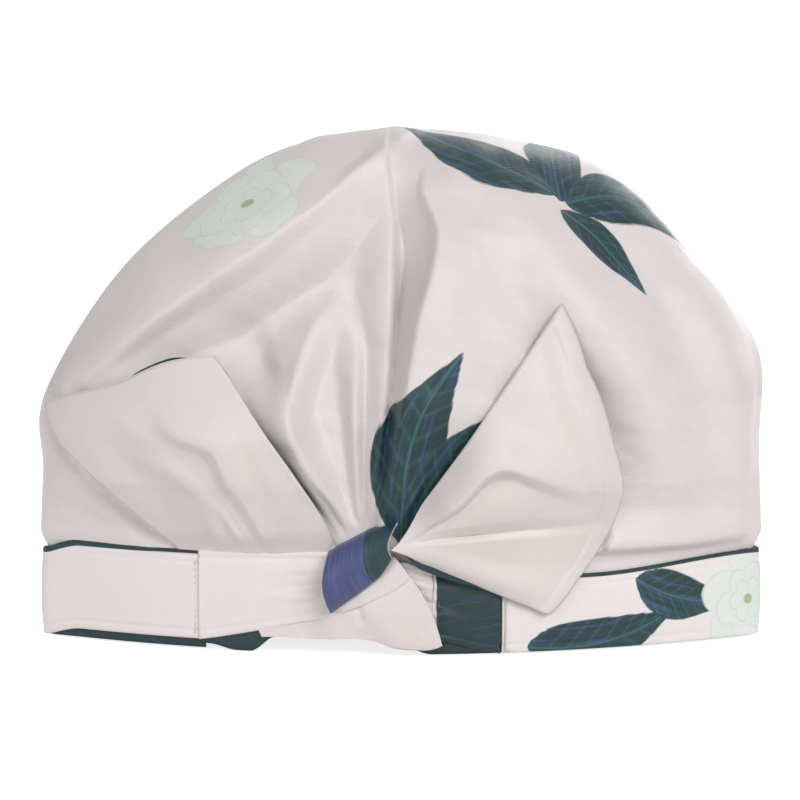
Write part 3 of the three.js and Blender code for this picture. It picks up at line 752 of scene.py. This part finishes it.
def left_ear_grid():
    low = [(-80, 29), (-86, 39), (-98, 49), (-115, 64), (-131, 78), (-138, 91)]
    high = [(-23, 29), (-24, 39), (-30, 54), (-40, 71), (-55, 94), (-69.5, 117)]
    rows, columns = 90, 70
    plan = between(low, high, rows, columns, 0.012)
    along, across = shares(rows, columns)
    x, z = plan[..., 0], plan[..., 1]
    z = z + along**2 * (2.0 * arch(across) + 1.2 * np.sin(3 * math.pi * across + 0.8))
    lift = 2.4 + 3.0 * smoothstep(along, 0.2, 0.6)
    lift = lift + 3.0 * smoothstep(across, 0.05, 0.9) * smoothstep(along, 0.25, 0.75)
    lift = lift + 4.0 * arch(across) * arch(np.clip(along * 0.9 + 0.1, 0, 1))
    lift = lift + fold_heights(x, z, LEFT_EAR_FOLDS) + 0.4 * small_waves(x, z)
    tuck = falling(along, 0.14, 0.34)
    y = -crown_front(x, z) - np.maximum(lift, LEAST_LIFT) * (1 - tuck) + tuck
    return stacked(x, y, z)


def right_ear_grid():
    """A fan that opens from the knot, with a turned rim along its end."""
    share, across = shares(130, 110)
    theta = FAN_LOW + (FAN_HIGH - FAN_LOW) * across
    length = np.interp(theta, FAN_REACH[:, 0], FAN_REACH[:, 1])
    reach = FAN_START + (length - FAN_START) * share
    x = FAN_X + reach * np.cos(np.radians(theta))
    z = FAN_Z + reach * np.sin(np.radians(theta)) * (0.5 + 0.5 * smoothstep(share, 0.0, 0.2))
    lift = 3.5 + 7.0 * arch(across) ** 0.8 * arch(share) ** 0.7
    lift = lift + 3.0 * bell(across - 0.62, 0.2) * smoothstep(share, 0.1, 0.5)
    lift = lift + fold_heights(x, z, RIGHT_EAR_FOLDS) + 0.35 * small_waves(x + 60, z)
    rim_start = 0.945 - 0.02 * arch(across)
    rim = smoothstep(share, rim_start - 0.012, rim_start) * falling(share, 0.985, 1.0)
    lift = np.maximum(lift, LEAST_LIFT) + 0.8 * rim
    root = falling(share, 0.0, 0.3)
    y = -(crown_front(x, z) + lift) * (1 - root) + FAN_Y * root
    return stacked(x, y, z)


def tail_grid():
    """The loose end of the bow: a wing behind the left tie, and a wide end with a hem along the knot."""
    high = [(-58, 16), (-42, 17.5), (-29, 18.6), (-20.5, 22.6), (-14.5, 27), (-7.5, 33), (-2.6, 39)]
    low = [(-53, 5.6), (-36, 6.4), (-23.4, 6.6), (-9.9, 6.0), (-1.2, 3.6), (9.9, 2.2), (15.6, 4.5)]
    rows, columns = 90, 60
    plan = between(low, high, rows, columns)
    along, across = shares(rows, columns)
    x = plan[..., 0] + 3.0 * arch(across) * smoothstep(along, 0.7, 1)
    z = plan[..., 1] + 0.4 * np.sin(16 * along + 1) * (1 - across) ** 3
    wing = falling(x, -36, -24)
    lift = 2.4 + 2.4 * arch(across) ** 0.8 * smoothstep(along, 0.35, 0.7)
    hem = smoothstep(across, 0.76, 0.79) * falling(across, 0.93, 1.0)
    lift = lift + 1.3 * hem * smoothstep(along, 0.36, 0.44) + 0.9 * across
    crease = bell(along - 0.42 - 0.16 * across, 0.035) * smoothstep(across, 0.3, 0.6) * (1 - hem)
    lift = (lift - crease) * (1 - wing) - 0.7 * wing
    return stacked(x, band_front(x) - lift, z)


def edge_thread(name, grid):
    """The rolled seam along a flap's two long edges and its end."""
    line = np.vstack([grid[6:, 0], grid[-1, 1:-1], grid[::-1, -1][:-6]])
    made = tube_object(name + "_cloth", line[::2] + [0, 0.45, 0], SEAM_RADIUS, bow_cloth)
    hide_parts(name)
    return made


left_ear = left_ear_grid()
along, across = shares(*left_ear.shape[:2])
left_place = smoothstep(across, 0.46, 0.58) * falling(across, 0.74, 0.9)
left_peek = LEFT_PEEK * smoothstep(along, 0.9, 1) * left_place
right_ear = right_ear_grid()
along, across = shares(*right_ear.shape[:2])
right_place = smoothstep(along, 0.02, 0.18) * falling(along, 0.3, 0.75)
right_peek = RIGHT_PEEK * falling(across, 0, 0.12) * right_place
left_pieces, left_back = flap_layers("left_ear", left_ear, left_peek, LEFT_LAYER_GAP)
right_pieces, right_back = flap_layers("right_ear", right_ear, right_peek)
tail_pieces, _ = flap_layers("tail", tail_grid())
left_seam = edge_thread("left_ear_edge_seam", left_ear)
right_seam = edge_thread("right_ear_edge_seam", right_ear)


# Crown

CROWN_ROWS = 190
CROWN_LOW = 24.0
FRONT_COLUMNS = 321
REAR_COLUMNS = 200
LINING_INSET = 4.5
FILM = 0.3
BACK_CLEARANCE = 1.2  # between the crown and the flap over it
COVER_REACH = 3.0
DOME_MIDDLE = 95.0  # height and radius of the dome that the print is laid over
DOME_RADIUS = 86.0


def crown_columns():
    """Places of the columns from side to side, along the front and back along the rear."""
    front = np.linspace(1, -1, FRONT_COLUMNS)
    front = 0.5 * (front + np.sin(front * math.pi / 2))
    rear = -np.cos(np.linspace(0, math.pi, REAR_COLUMNS + 2)[1:-1])
    return np.concatenate([front, rear]), np.arange(FRONT_COLUMNS + REAR_COLUMNS) >= FRONT_COLUMNS


def ruffle(s):
    """Uneven gathers along the back of the band, as a function of the way along it."""
    main = np.sin(s / 1.42 + 0.9 * np.sin(s / 17))
    return (main + 0.6 * np.sin(s / 2.3 + 1.7) + 0.35 * np.sin(s / 0.87 + 0.4)) / 1.6


def crown_grid(inset, with_folds):
    across, is_rear = crown_columns()
    turn = np.linspace(0, math.pi / 2, CROWN_ROWS + 1)[:-1]
    z = (CROWN_LOW + (CROWN_TOP - CROWN_LOW) * np.sin(turn))[:, None]
    middle, half = crown_edges(z)
    rear_depth = crown_depth(z, REAR_BOW, REAR_DEPTH)
    depth = np.where(is_rear[None], rear_depth, -crown_depth(z, FRONT_BOW, FRONT_DEPTH))
    tuck = 1.4 * falling(z, 34, 42)
    side_tuck = 3.4 * falling(z, 33, 42)
    x = (middle + half * across[None]) * (1 - side_tuck / HALF_WIDTH)
    y = depth * ring_share(across[None], z) * (1 - tuck / FRONT_BOW)
    points = stacked(x, y, z)
    points = points * (1 - inset / np.array([HALF_WIDTH, FRONT_DEPTH, CROWN_TOP]))
    normal = grid_normals(points, ring=True)
    normal = normal * np.sign((normal * (points - [0, 0, 100])).sum(-1, keepdims=True))
    px, pz = points[..., 0], points[..., 2]
    from_side = 1 - np.abs(across[None])
    from_band = np.maximum(pz - CROWN_EDGE, 0)
    sides = smoothstep(from_side, 0.0, 0.06)
    gathers = 2.4 * ruffle(px) * np.exp(-from_band / 34) * smoothstep(from_side, 0.0, 0.3)
    gathers = gathers + 2.5 * small_waves(px * 1.6, pz * 0.5) * np.exp(-from_band / 60) * sides
    soft = 0.45 * small_waves(px, pz) + 0.10 * fine_waves(px, pz)
    height = np.where(is_rear[None], gathers * smoothstep(pz, 34, 40), 0)
    height = height + soft * sides * smoothstep(pz, 34, 50)
    plan = (px[:, ~is_rear], pz[:, ~is_rear])
    folds = fold_heights(*plan, FOLDS) + sunken(*plan) + knot_gathers(*plan)
    front = np.zeros_like(px)
    front[:, ~is_rear] = folds if with_folds else np.minimum(folds, 0) - 1.5
    return points + normal * (height + front * sides)[..., None]


def print_uv(points):
    """Places on the printed cloth: across by x, and over the top from the front edge to the back one."""
    x, y, z = points[..., 0], points[..., 1], points[..., 2]
    over = DOME_RADIUS * np.arctan2(z - DOME_MIDDLE, -y)
    below = np.where(y <= 0, z - DOME_MIDDLE, DOME_RADIUS * math.pi + DOME_MIDDLE - z)
    return stacked(x, np.where(z >= DOME_MIDDLE, over, below))


def keep_under(points, cover):
    """Presses the crown back where a flap lies on it."""
    flat = cover.reshape(-1, 3)
    tree = kdtree.KDTree(len(flat))
    for i, p in enumerate(flat):
        tree.insert((p[0], p[2], 0), i)
    tree.balance()
    plan, flat_plan = points[..., [0, 2]], flat[:, [0, 2]]
    low, high = flat_plan.min(0) - COVER_REACH, flat_plan.max(0) + COVER_REACH
    inside = ((plan > low) & (plan < high)).all(-1) & (points[..., 1] < 0)
    for row, column in np.argwhere(inside):
        p = points[row, column]
        _, index, gap = tree.find((p[0], p[2], 0))
        if gap < COVER_REACH:
            p[1] = max(p[1], flat[index][1] + BACK_CLEARANCE)


def crown_layer(name, node, points, material, inset, thickness):
    """A ring of cloth that closes at the top of the crown."""
    uv = print_uv(points)
    uv = np.concatenate([uv, uv[:, :1]], axis=1)
    top = np.array([CROWN_TOP_X, 0, CROWN_TOP - inset])
    pole = (top, print_uv(top))
    made = grid_object(name, points, uv, material, ring=True, pole=pole, thickness=thickness)
    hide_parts(node)
    return made


crown = crown_grid(0, True)
keep_under(crown, left_back)
keep_under(crown, right_back)
crown_piece = crown_layer("crown_cloth_shell", "crown_shell", crown, crown_cloth, 0, CLOTH)
lining = crown_grid(LINING_INSET, False)[6::2, ::2]
lining_piece = crown_layer("lining_film", "crown_lining", lining, lining_film, LINING_INSET, FILM)


# Band: sections swept along the lens-shaped path of the opening

CASING_LOW = 0.2
CASING_MIDDLE = 17.0
BULGE = 0.9
PIPING_MIDDLE = 33.4
LINING_TOP = 35.0
TIE_HEIGHT = 34.6
RIGHT_DIP = 4.6  # how far the upper edge falls towards the right seam
PRINT_START = -150.0
SEAM_LAP = 0.3


def resampled(line, step=1.0):
    length = np.concatenate([[0], np.cumsum(np.linalg.norm(np.diff(line, axis=0), axis=1))])
    at = np.arange(0, length[-1] + step / 2, step)
    return np.stack([np.interp(at, length, line[:, k]) for k in range(line.shape[1])], 1)


def band_path():
    """The outer line of the casing from the left seam round the back to the right seam."""
    wide = HALF_WIDTH + SIDE_FOLD_ROUNDING
    left = np.linspace(LEFT_SEAM_X + 1.4, -wide, 120)
    rear = np.linspace(-wide, wide, 400)[1:]
    right = np.linspace(wide, RIGHT_SEAM_X, 160)[1:]
    rear_y = REAR_BOW * (1 - (rear / wide) ** 2)
    y = np.concatenate([band_front(left, wide), rear_y, band_front(right, wide)])
    return resampled(stacked(np.concatenate([left, rear, right]), y))


def softened(line, reach):
    """The line with its corners rounded, its ends kept."""
    weights = np.exp(-0.5 * (np.arange(-3 * reach, 3 * reach + 1) / reach) ** 2)
    weights /= weights.sum()
    before = 2 * line[0] - line[3 * reach:0:-1]
    after = 2 * line[-1] - line[-2:-3 * reach - 2:-1]
    padded = np.vstack([before, line, after])
    return np.stack([np.convolve(padded[:, k], weights, mode="valid") for k in range(2)], 1)


def along_path(path, depth, z):
    """A grid of points at heights z, and at depths to the right of a path seen from above."""
    way = unit(np.gradient(path, axis=0))
    x = path[None, :, 0] + depth * way[None, :, 1]
    y = path[None, :, 1] - depth * way[None, :, 0]
    return stacked(x, y, z)


def swept(path, section, change):
    """A grid of the section's points (depth inward, z) at each point of the path, changed along it."""
    depth, z = np.array(section).T[..., None]
    return along_path(path, *change(depth, z))


casing_line = softened(band_path(), 4)
casing_way = np.arange(len(casing_line)) * 1.0
casing_x, casing_y = casing_line.T
casing_back = smoothstep(casing_y, -4, 18)
casing_front = falling(casing_y, -6, 2)
left_rise = smoothstep(casing_x, -142, -124) * (casing_x < 0) * casing_front
right_dip = falling(casing_x, 72, 136) * (casing_x > 0) * casing_front
thin_left = smoothstep(casing_x, -104, -84) * (casing_x < 0) * casing_front
thin_right = smoothstep(casing_x, 30, 40) * casing_front


def casing_section(low, high):
    """Outer face of the casing with turned edges, and a groove of topstitching near each edge."""
    height = np.linspace(low + 0.7, high - 0.7, 44)
    depth = -BULGE * arch((height - low) / (high - low)) ** 0.7 + 0.3
    for groove in (low + 3.4, high - 3.2):
        depth = depth + 0.55 * bell(height - groove, 0.42)
    turned_low = [(1.0, low + 1.4), (0.95, low + 0.6), (0.75, low + 0.1), (0.45, low + 0.2)]
    turned_high = [(0.45, high - 0.2), (0.75, high - 0.1), (0.95, high - 0.6), (1.0, high - 1.4)]
    return turned_low + list(zip(depth, height)) + turned_high


def casing_change(low_rise, high_rise, amount, edge_amount):
    """Gathers at the back, raises both edges at the left front and lowers the upper one at the right."""
    def change(depth, z):
        wave = ruffle(casing_x * 1.15 + casing_way * 0.2)
        flutter = ruffle(casing_way * 0.8 + 40)
        from_middle = z - CASING_MIDDLE
        depth = depth + amount * casing_back * wave * (0.6 + 0.4 * np.cos(from_middle / 7))
        near_edge = np.sign(from_middle) * smoothstep(np.abs(from_middle), 6, 17)
        up = smoothstep(z, 0, 34)
        rise = left_rise * (low_rise * (1 - up) + high_rise * up)
        z = np.maximum(z + edge_amount * casing_back * flutter * near_edge, 0.15)
        return depth, z + rise - right_dip * RIGHT_DIP * up
    return change


def band_strip(name, node, section, change, heights, material, start=0.0, **cloth):
    """A strip of cloth along the casing, with the heights of its rows on the cloth."""
    points = swept(casing_line, section, change)
    uv = stacked(casing_way[None] + start, np.asarray(heights)[:, None])
    made = grid_object(name, points, uv, material, **cloth)
    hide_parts(node)
    return made


def piping_change(depth, z):
    """Narrows the piping towards the left seam and along the right front."""
    share = 1 - 0.7 * thin_left - 0.55 * thin_right
    return piping_slope(depth, PIPING_MIDDLE + (z - PIPING_MIDDLE) * share)


casing = casing_section(CASING_LOW, CASING_TOP)
casing_piece = band_strip("casing_cloth", "rear_casing", casing, casing_change(3.7, 4.0, 1.1, 0.7),
                          [z for _, z in casing], band_cloth, PRINT_START, offset=1.0)

piping_slope = casing_change(3.4, 4.2, 1.0, 0.0)
piping_turn = np.linspace(-2.9, 2.9, 14)
piping = list(zip(0.95 + 0.55 * np.sin(piping_turn), PIPING_MIDDLE + 1.2 * np.cos(piping_turn)))
piping_piece = band_strip("piping_cloth", "casing_piping", piping, piping_change,
                          np.linspace(0, 7, len(piping)), dark_cloth, thickness=FILM)

inner = [(2.9, z) for z in np.linspace(CASING_LOW, LINING_TOP, 20)]
inner_piece = band_strip("casing_lining_cloth", "casing_lining", inner, casing_change(0.2, 3.4, 0.9, 0.3),
                         np.linspace(0, LINING_TOP, len(inner)), dark_cloth)

elastic = [(2.0, z) for z in np.linspace(4, 29, 8)]
elastic_change = casing_change(2.0, 3.0, 1.0, 0.0)
elastic_piece = band_strip("elastic_web_strip", "rear_elastic", elastic, elastic_change,
                           np.linspace(0, 25, len(elastic)), elastic_web, thickness=0.6)


def front_path(from_x, to_x):
    x = np.linspace(from_x, to_x, 400)
    return resampled(stacked(x, band_front(x)))


def tie_piece(side, path, seam_x, knot_x, at_seam, at_knot, material):
    """A tie between a low and a high edge, narrower and gathered into folds towards the knot."""
    turned_in, height = np.array(casing_section(0.0, TIE_HEIGHT)).T[..., None]
    share = height / TIE_HEIGHT
    near = np.clip((path[:, 0] - seam_x) / (knot_x - seam_x), 0, 1)
    low = at_seam[0] + (at_knot[0] - at_seam[0]) * near**1.1
    high = at_seam[1] + (at_knot[1] - at_seam[1]) * near**2
    pull = smoothstep(near, 0.35, 1.0)
    folds = 1.5 * np.cos(2 * math.pi * 2.6 * share + 0.6) + 0.7 * np.cos(2 * math.pi * 5.1 * share)
    folds = folds * arch(np.clip(share, 0, 1))
    groove = -0.6 * np.exp(-np.abs(path[:, 0] - seam_x) / 6)
    depth = turned_in - folds * pull - 2.6 * pull**2 + groove
    grid = along_path(path, -depth, low + (high - low) * share)
    made = grid_object(f"{side}_tie_cloth", grid, arc_uv(grid), material, offset=0.0)
    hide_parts(f"{side}_tie")
    return made


left_tie_path = front_path(LEFT_SEAM_X - SEAM_LAP, -14.0)
left_tie_piece = tie_piece("left", left_tie_path, LEFT_SEAM_X, -20.0,
                           (3.9, 38.8), (16.5, 40.0), plain_cloth)
right_tie_path = front_path(-6.0, RIGHT_SEAM_X - SEAM_LAP)
right_tie_piece = tie_piece("right", right_tie_path, RIGHT_SEAM_X, 2.0,
                            (0.2, 30.0), (9.0, 36.0), tie_cloth)
facing_line = front_path(LEFT_SEAM_X + SEAM_LAP, RIGHT_SEAM_X - SEAM_LAP)


def facing_slope(depth, z):
    """Raises the facing's lower edge behind the tail and beside the left seam."""
    x = facing_line[:, 0]
    raised = 6.0 * smoothstep(x, -58, -48) * falling(x, -6, 12) + 2.0 * falling(x, -74, -63)
    return depth, z + raised[None] * (1 - z / LINING_TOP)


facing = swept(facing_line, [(-1.6, z) for z in np.linspace(0.1, LINING_TOP, 20)], facing_slope)
facing_piece = grid_object("facing_cloth", facing, arc_uv(facing), dark_cloth)
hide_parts("front_facing")


# Knot

KNOT_Y = -51.0
CORE_CENTRE = np.array([-15.4, KNOT_Y, 35.4])
CORE_AXIS = np.array([0.80, 0, 0.60])
CORE_UP = np.array([-0.60, 0, 0.80])
CORE_FRONT = np.array([0, -0.62, 0])
CORE_HALF_LENGTH = 13.0


def wrap_grid():
    """The strip round the knot: from its lower edge over the front to its upper edge, and in at both."""
    low = [(-26.8, 17.1), (-21, 21.4), (-15.1, 25.8), (-7.8, 31.8), (-3.6, 38.5)]
    high = [(-27.8, 39.2), (-24.5, 41.4), (-18, 45.2), (-10, 49.2), (-1.2, 51.6)]
    bottom, top = smooth_line(low, 70), smooth_line(high, 70)
    q = np.linspace(-0.12, 1.12, 80)[None]
    p = np.linspace(0, 1, 70)[:, None]
    inside = np.clip(q, 0, 1)
    bow = arch(inside) ** 0.5
    x = bottom[:, :1] + (top - bottom)[:, :1] * inside - 2.4 * arch(inside)
    z = bottom[:, 1:] + (top - bottom)[:, 1:] * inside
    over = np.maximum(q - 1, 0) + np.maximum(-q, 0)
    folds = 0.35 * np.cos(2 * math.pi * (p * 2.2 + 0.3 * inside))
    folds = folds + 0.5 * bell(p - 0.78 + 0.1 * inside, 0.03)
    ends = 1.1 * (bell(p, 0.03) + bell(1 - p, 0.03))
    y = KNOT_Y - (8.5 - 2.0 * p - folds) * bow + ends + 60 * over
    return stacked(x, y, z)


def core_grid():
    """The gathered cloth inside the knot, seen at both mouths of the strip round it."""
    t = np.linspace(-1, 1, 40)[:, None, None]
    turn = circle(48)
    ends = np.sqrt(np.maximum(1 - np.abs(t) ** 2.6, 0.0004))
    radius = (6.6 - 2.2 * t) * ends * (1 + 0.05 * np.cos(7 * turn + 2 * t))
    centre = CORE_CENTRE + CORE_HALF_LENGTH * t * CORE_AXIS
    return centre + radius * (np.cos(turn) * CORE_UP + np.sin(turn) * CORE_FRONT)


wrap = wrap_grid()
wrap_uv = arc_uv(wrap)
wrap_uv[..., 1] = np.linspace(0, WRAP_WIDTH, len(wrap))[:, None]
wrap_piece = grid_object("knot_wrap_cloth", wrap, wrap_uv, indigo_cloth, thickness=0.6, offset=0.0)
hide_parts("knot_wrap")

core = core_grid()
core_uv = arc_uv(np.concatenate([core, core[:, :1]], axis=1))
core_piece = grid_object("knot_core_cloth", core, core_uv, plain_cloth, ring=True, thickness=0)
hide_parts("knot_core")


# Stitching

STITCH_RINGS, STITCH_SIDES = 7, 6
STITCH_RADIUS = 0.21
STITCH_COUNT = 11
STITCH_LOW = 6.2
STITCH_STEP = 2.65
STITCH_LENGTH = 1.7
STITCH_PROUD = 0.72
STITCH_LIFT = 0.22
RIGHT_THREAD_RADIUS = 0.38


def stitch_line(name, spots, lift, material):
    """Separate stitches as one mesh: each is a short thread between two points, bent outward."""
    vertices, faces = [], []
    t = np.linspace(0, 1, STITCH_RINGS)[:, None]
    turn = circle(STITCH_SIDES)
    for index, (a, b) in enumerate(spots):
        path = a + (b - a) * t + lift * arch(t) ** 0.6
        way = unit(b - a)
        side = np.cross(way, unit(lift))
        up = np.cross(side, way)
        vertices.append(path[:, None] + STITCH_RADIUS * (np.cos(turn) * side + np.sin(turn) * up))
        faces += tube_faces(STITCH_RINGS, STITCH_SIDES, index * STITCH_RINGS * STITCH_SIDES)
    return mesh_object(name, np.concatenate(vertices).reshape(-1, 3), faces, material)


def on_band(x, z, proud):
    """A point on the band's front, or proud of it."""
    slope = 2 * FRONT_BOW * x / HALF_WIDTH**2
    out = unit(np.array([slope, -1.0, 0]))
    return np.array([x, band_front(x), z]) + out * proud


outward = on_band(LEFT_SEAM_X, 0, 1) - on_band(LEFT_SEAM_X, 0, 0)
left_spots = []
for z in STITCH_LOW + STITCH_STEP * np.arange(STITCH_COUNT):
    start = on_band(LEFT_SEAM_X - 1.6, z, STITCH_PROUD)
    left_spots.append((start, on_band(LEFT_SEAM_X - 1.3, z + STITCH_LENGTH, STITCH_PROUD)))
left_stitches = stitch_line("left_seam_threads", left_spots, outward * STITCH_LIFT, thread)
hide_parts("left_seam_stitching")

right_path = [on_band(RIGHT_SEAM_X + 1.6, z, 0.95) for z in np.linspace(30, 2.0, 40)]
right_path += [on_band(RIGHT_SEAM_X + 1.5 + 0.3 * k, 1.6 - 0.1 * k, 1.0 + 0.25 * k) for k in range(1, 5)]
right_stitches = tube_object("right_seam_threads", right_path, RIGHT_THREAD_RADIUS, thread)
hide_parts("right_seam_stitching")


# Pieces that move with the cap's body, and pieces whose placing is baked into their points

for piece in (crown_piece, lining_piece, casing_piece, piping_piece, inner_piece, elastic_piece):
    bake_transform(piece)
for piece in (left_tie_piece, right_tie_piece, facing_piece, wrap_piece, core_piece,
              left_stitches, right_stitches):
    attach(piece, "cap")
for piece in (*left_pieces, left_seam):
    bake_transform(piece)
for piece in (*right_pieces, right_seam):
    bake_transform(piece)
for piece in tail_pieces:
    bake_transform(piece)


# Cut sizes of the cloth, in metres, with the area in square metres where the cut isn't a rectangle
SHEETS = [
    (crown_piece, (0.42, 0.42), 0.1385, "gathered", casing_piece),
    (lining_piece, (0.40, 0.40), 0.1257, "gathered", inner_piece),
    (casing_piece, (0.50, 0.036), None, "gathered", elastic_piece),
    (inner_piece, (0.50, 0.036), None, "gathered", elastic_piece),
    (left_tie_piece, (0.075, 0.035), None, "stretched", crown_piece),
    (right_tie_piece, (0.052, 0.030), None, "stretched", crown_piece),
    (facing_piece, (0.12, 0.036), None, "folded", crown_piece),
    (wrap_piece, (0.042, 0.028), None, "folded", core_piece),
]
FLAP_SHEETS = [
    (left_pieces, (0.12, 0.095), 0.0078, crown_piece),
    (right_pieces, (0.12, 0.095), 0.0068, crown_piece),
    (tail_pieces, (0.075, 0.035), 0.0015, facing_piece),
]
for layers, flat, area, carrier in FLAP_SHEETS:
    SHEETS += [(layer, flat, area, "folded", carrier) for layer in layers]


# Stage, light and camera. Lengths are metres from here on

FLOOR_SIZE = 60
FLOOR_DROP = 0.0005
FLOOR_GLOW = 0.80
WORLD_LIGHT = 0.30
ELEVATION = math.radians(7)
DISTANCE = 1.6
VIEW_WIDTH = 0.3104
SENSOR_WIDTH = 36
TARGET = Vector((-0.0004, 0, 0.0921))


def seen_rays(graph):
    """1 for rays that show the background: from the camera, in reflections and through clear pieces."""
    path = graph.add("ShaderNodeLightPath")
    seen = path.outputs["Is Camera Ray"]
    for ray in ("Is Glossy Ray", "Is Transmission Ray"):
        seen = graph.math("MAXIMUM", seen, path.outputs[ray])
    return seen


def floor_look():
    """A white floor that keeps the shadow and is clear from below."""
    material = bpy.data.materials.new("white_floor")
    material.use_nodes = True
    graph = Graph(material.node_tree)
    shader = material.node_tree.nodes["Principled BSDF"]
    graph.put(shader.inputs["Base Color"], (0.9, 0.9, 0.9))
    graph.put(shader.inputs["Roughness"], 0.9)
    graph.put(shader.inputs["Emission Color"], (1, 1, 1))
    graph.put(shader.inputs["Emission Strength"], graph.times(seen_rays(graph), FLOOR_GLOW))
    under = graph.add("ShaderNodeNewGeometry").outputs["Backfacing"]
    clear = graph.add("ShaderNodeBsdfTransparent").outputs[0]
    mixed = graph.add("ShaderNodeMixShader", [(0, under), (1, shader.outputs[0]), (2, clear)])
    graph.put(material.node_tree.nodes["Material Output"].inputs["Surface"], mixed.outputs[0])
    return material


bpy.ops.mesh.primitive_plane_add(size=FLOOR_SIZE, location=(0, 0, -FLOOR_DROP))
floor = bpy.context.object
floor.name = "floor"
floor.data.materials.append(floor_look())

scene = bpy.context.scene
scene.view_settings.view_transform = "Standard"

world = bpy.data.worlds.new("studio")
scene.world = world
world.use_nodes = True
world_graph = Graph(world.node_tree)
background = world.node_tree.nodes["Background"]
world_graph.put(background.inputs["Color"], (1, 1, 1))
world_strength = world_graph.fused(seen_rays(world_graph), 1 - WORLD_LIGHT, WORLD_LIGHT)
world_graph.put(background.inputs["Strength"], world_strength)


def sun(name, towards, strength, spread):
    """A soft distant lamp that shines from the direction given."""
    data = bpy.data.lights.new(name, "SUN")
    data.energy = strength
    data.angle = math.radians(spread)
    lamp = bpy.data.objects.new(name, data)
    scene.collection.objects.link(lamp)
    lamp.rotation_euler = Vector(towards).to_track_quat("Z", "Y").to_euler()


sun("key", (0.45, -1.0, 0.55), 1.40, 30)
sun("fill", (-0.55, -1.0, 0.15), 0.72, 50)
sun("rear", (0.5, 1.0, 0.45), 1.30, 40)

camera_data = bpy.data.cameras.new("camera")
camera = bpy.data.objects.new("camera", camera_data)
scene.collection.objects.link(camera)
camera.location = TARGET + DISTANCE * Vector((0, -math.cos(ELEVATION), math.sin(ELEVATION)))
camera.rotation_euler = (TARGET - camera.location).to_track_quat("-Z", "Y").to_euler()
camera_data.sensor_width = SENSOR_WIDTH
camera_data.lens = SENSOR_WIDTH * DISTANCE / VIEW_WIDTH
scene.camera = camera
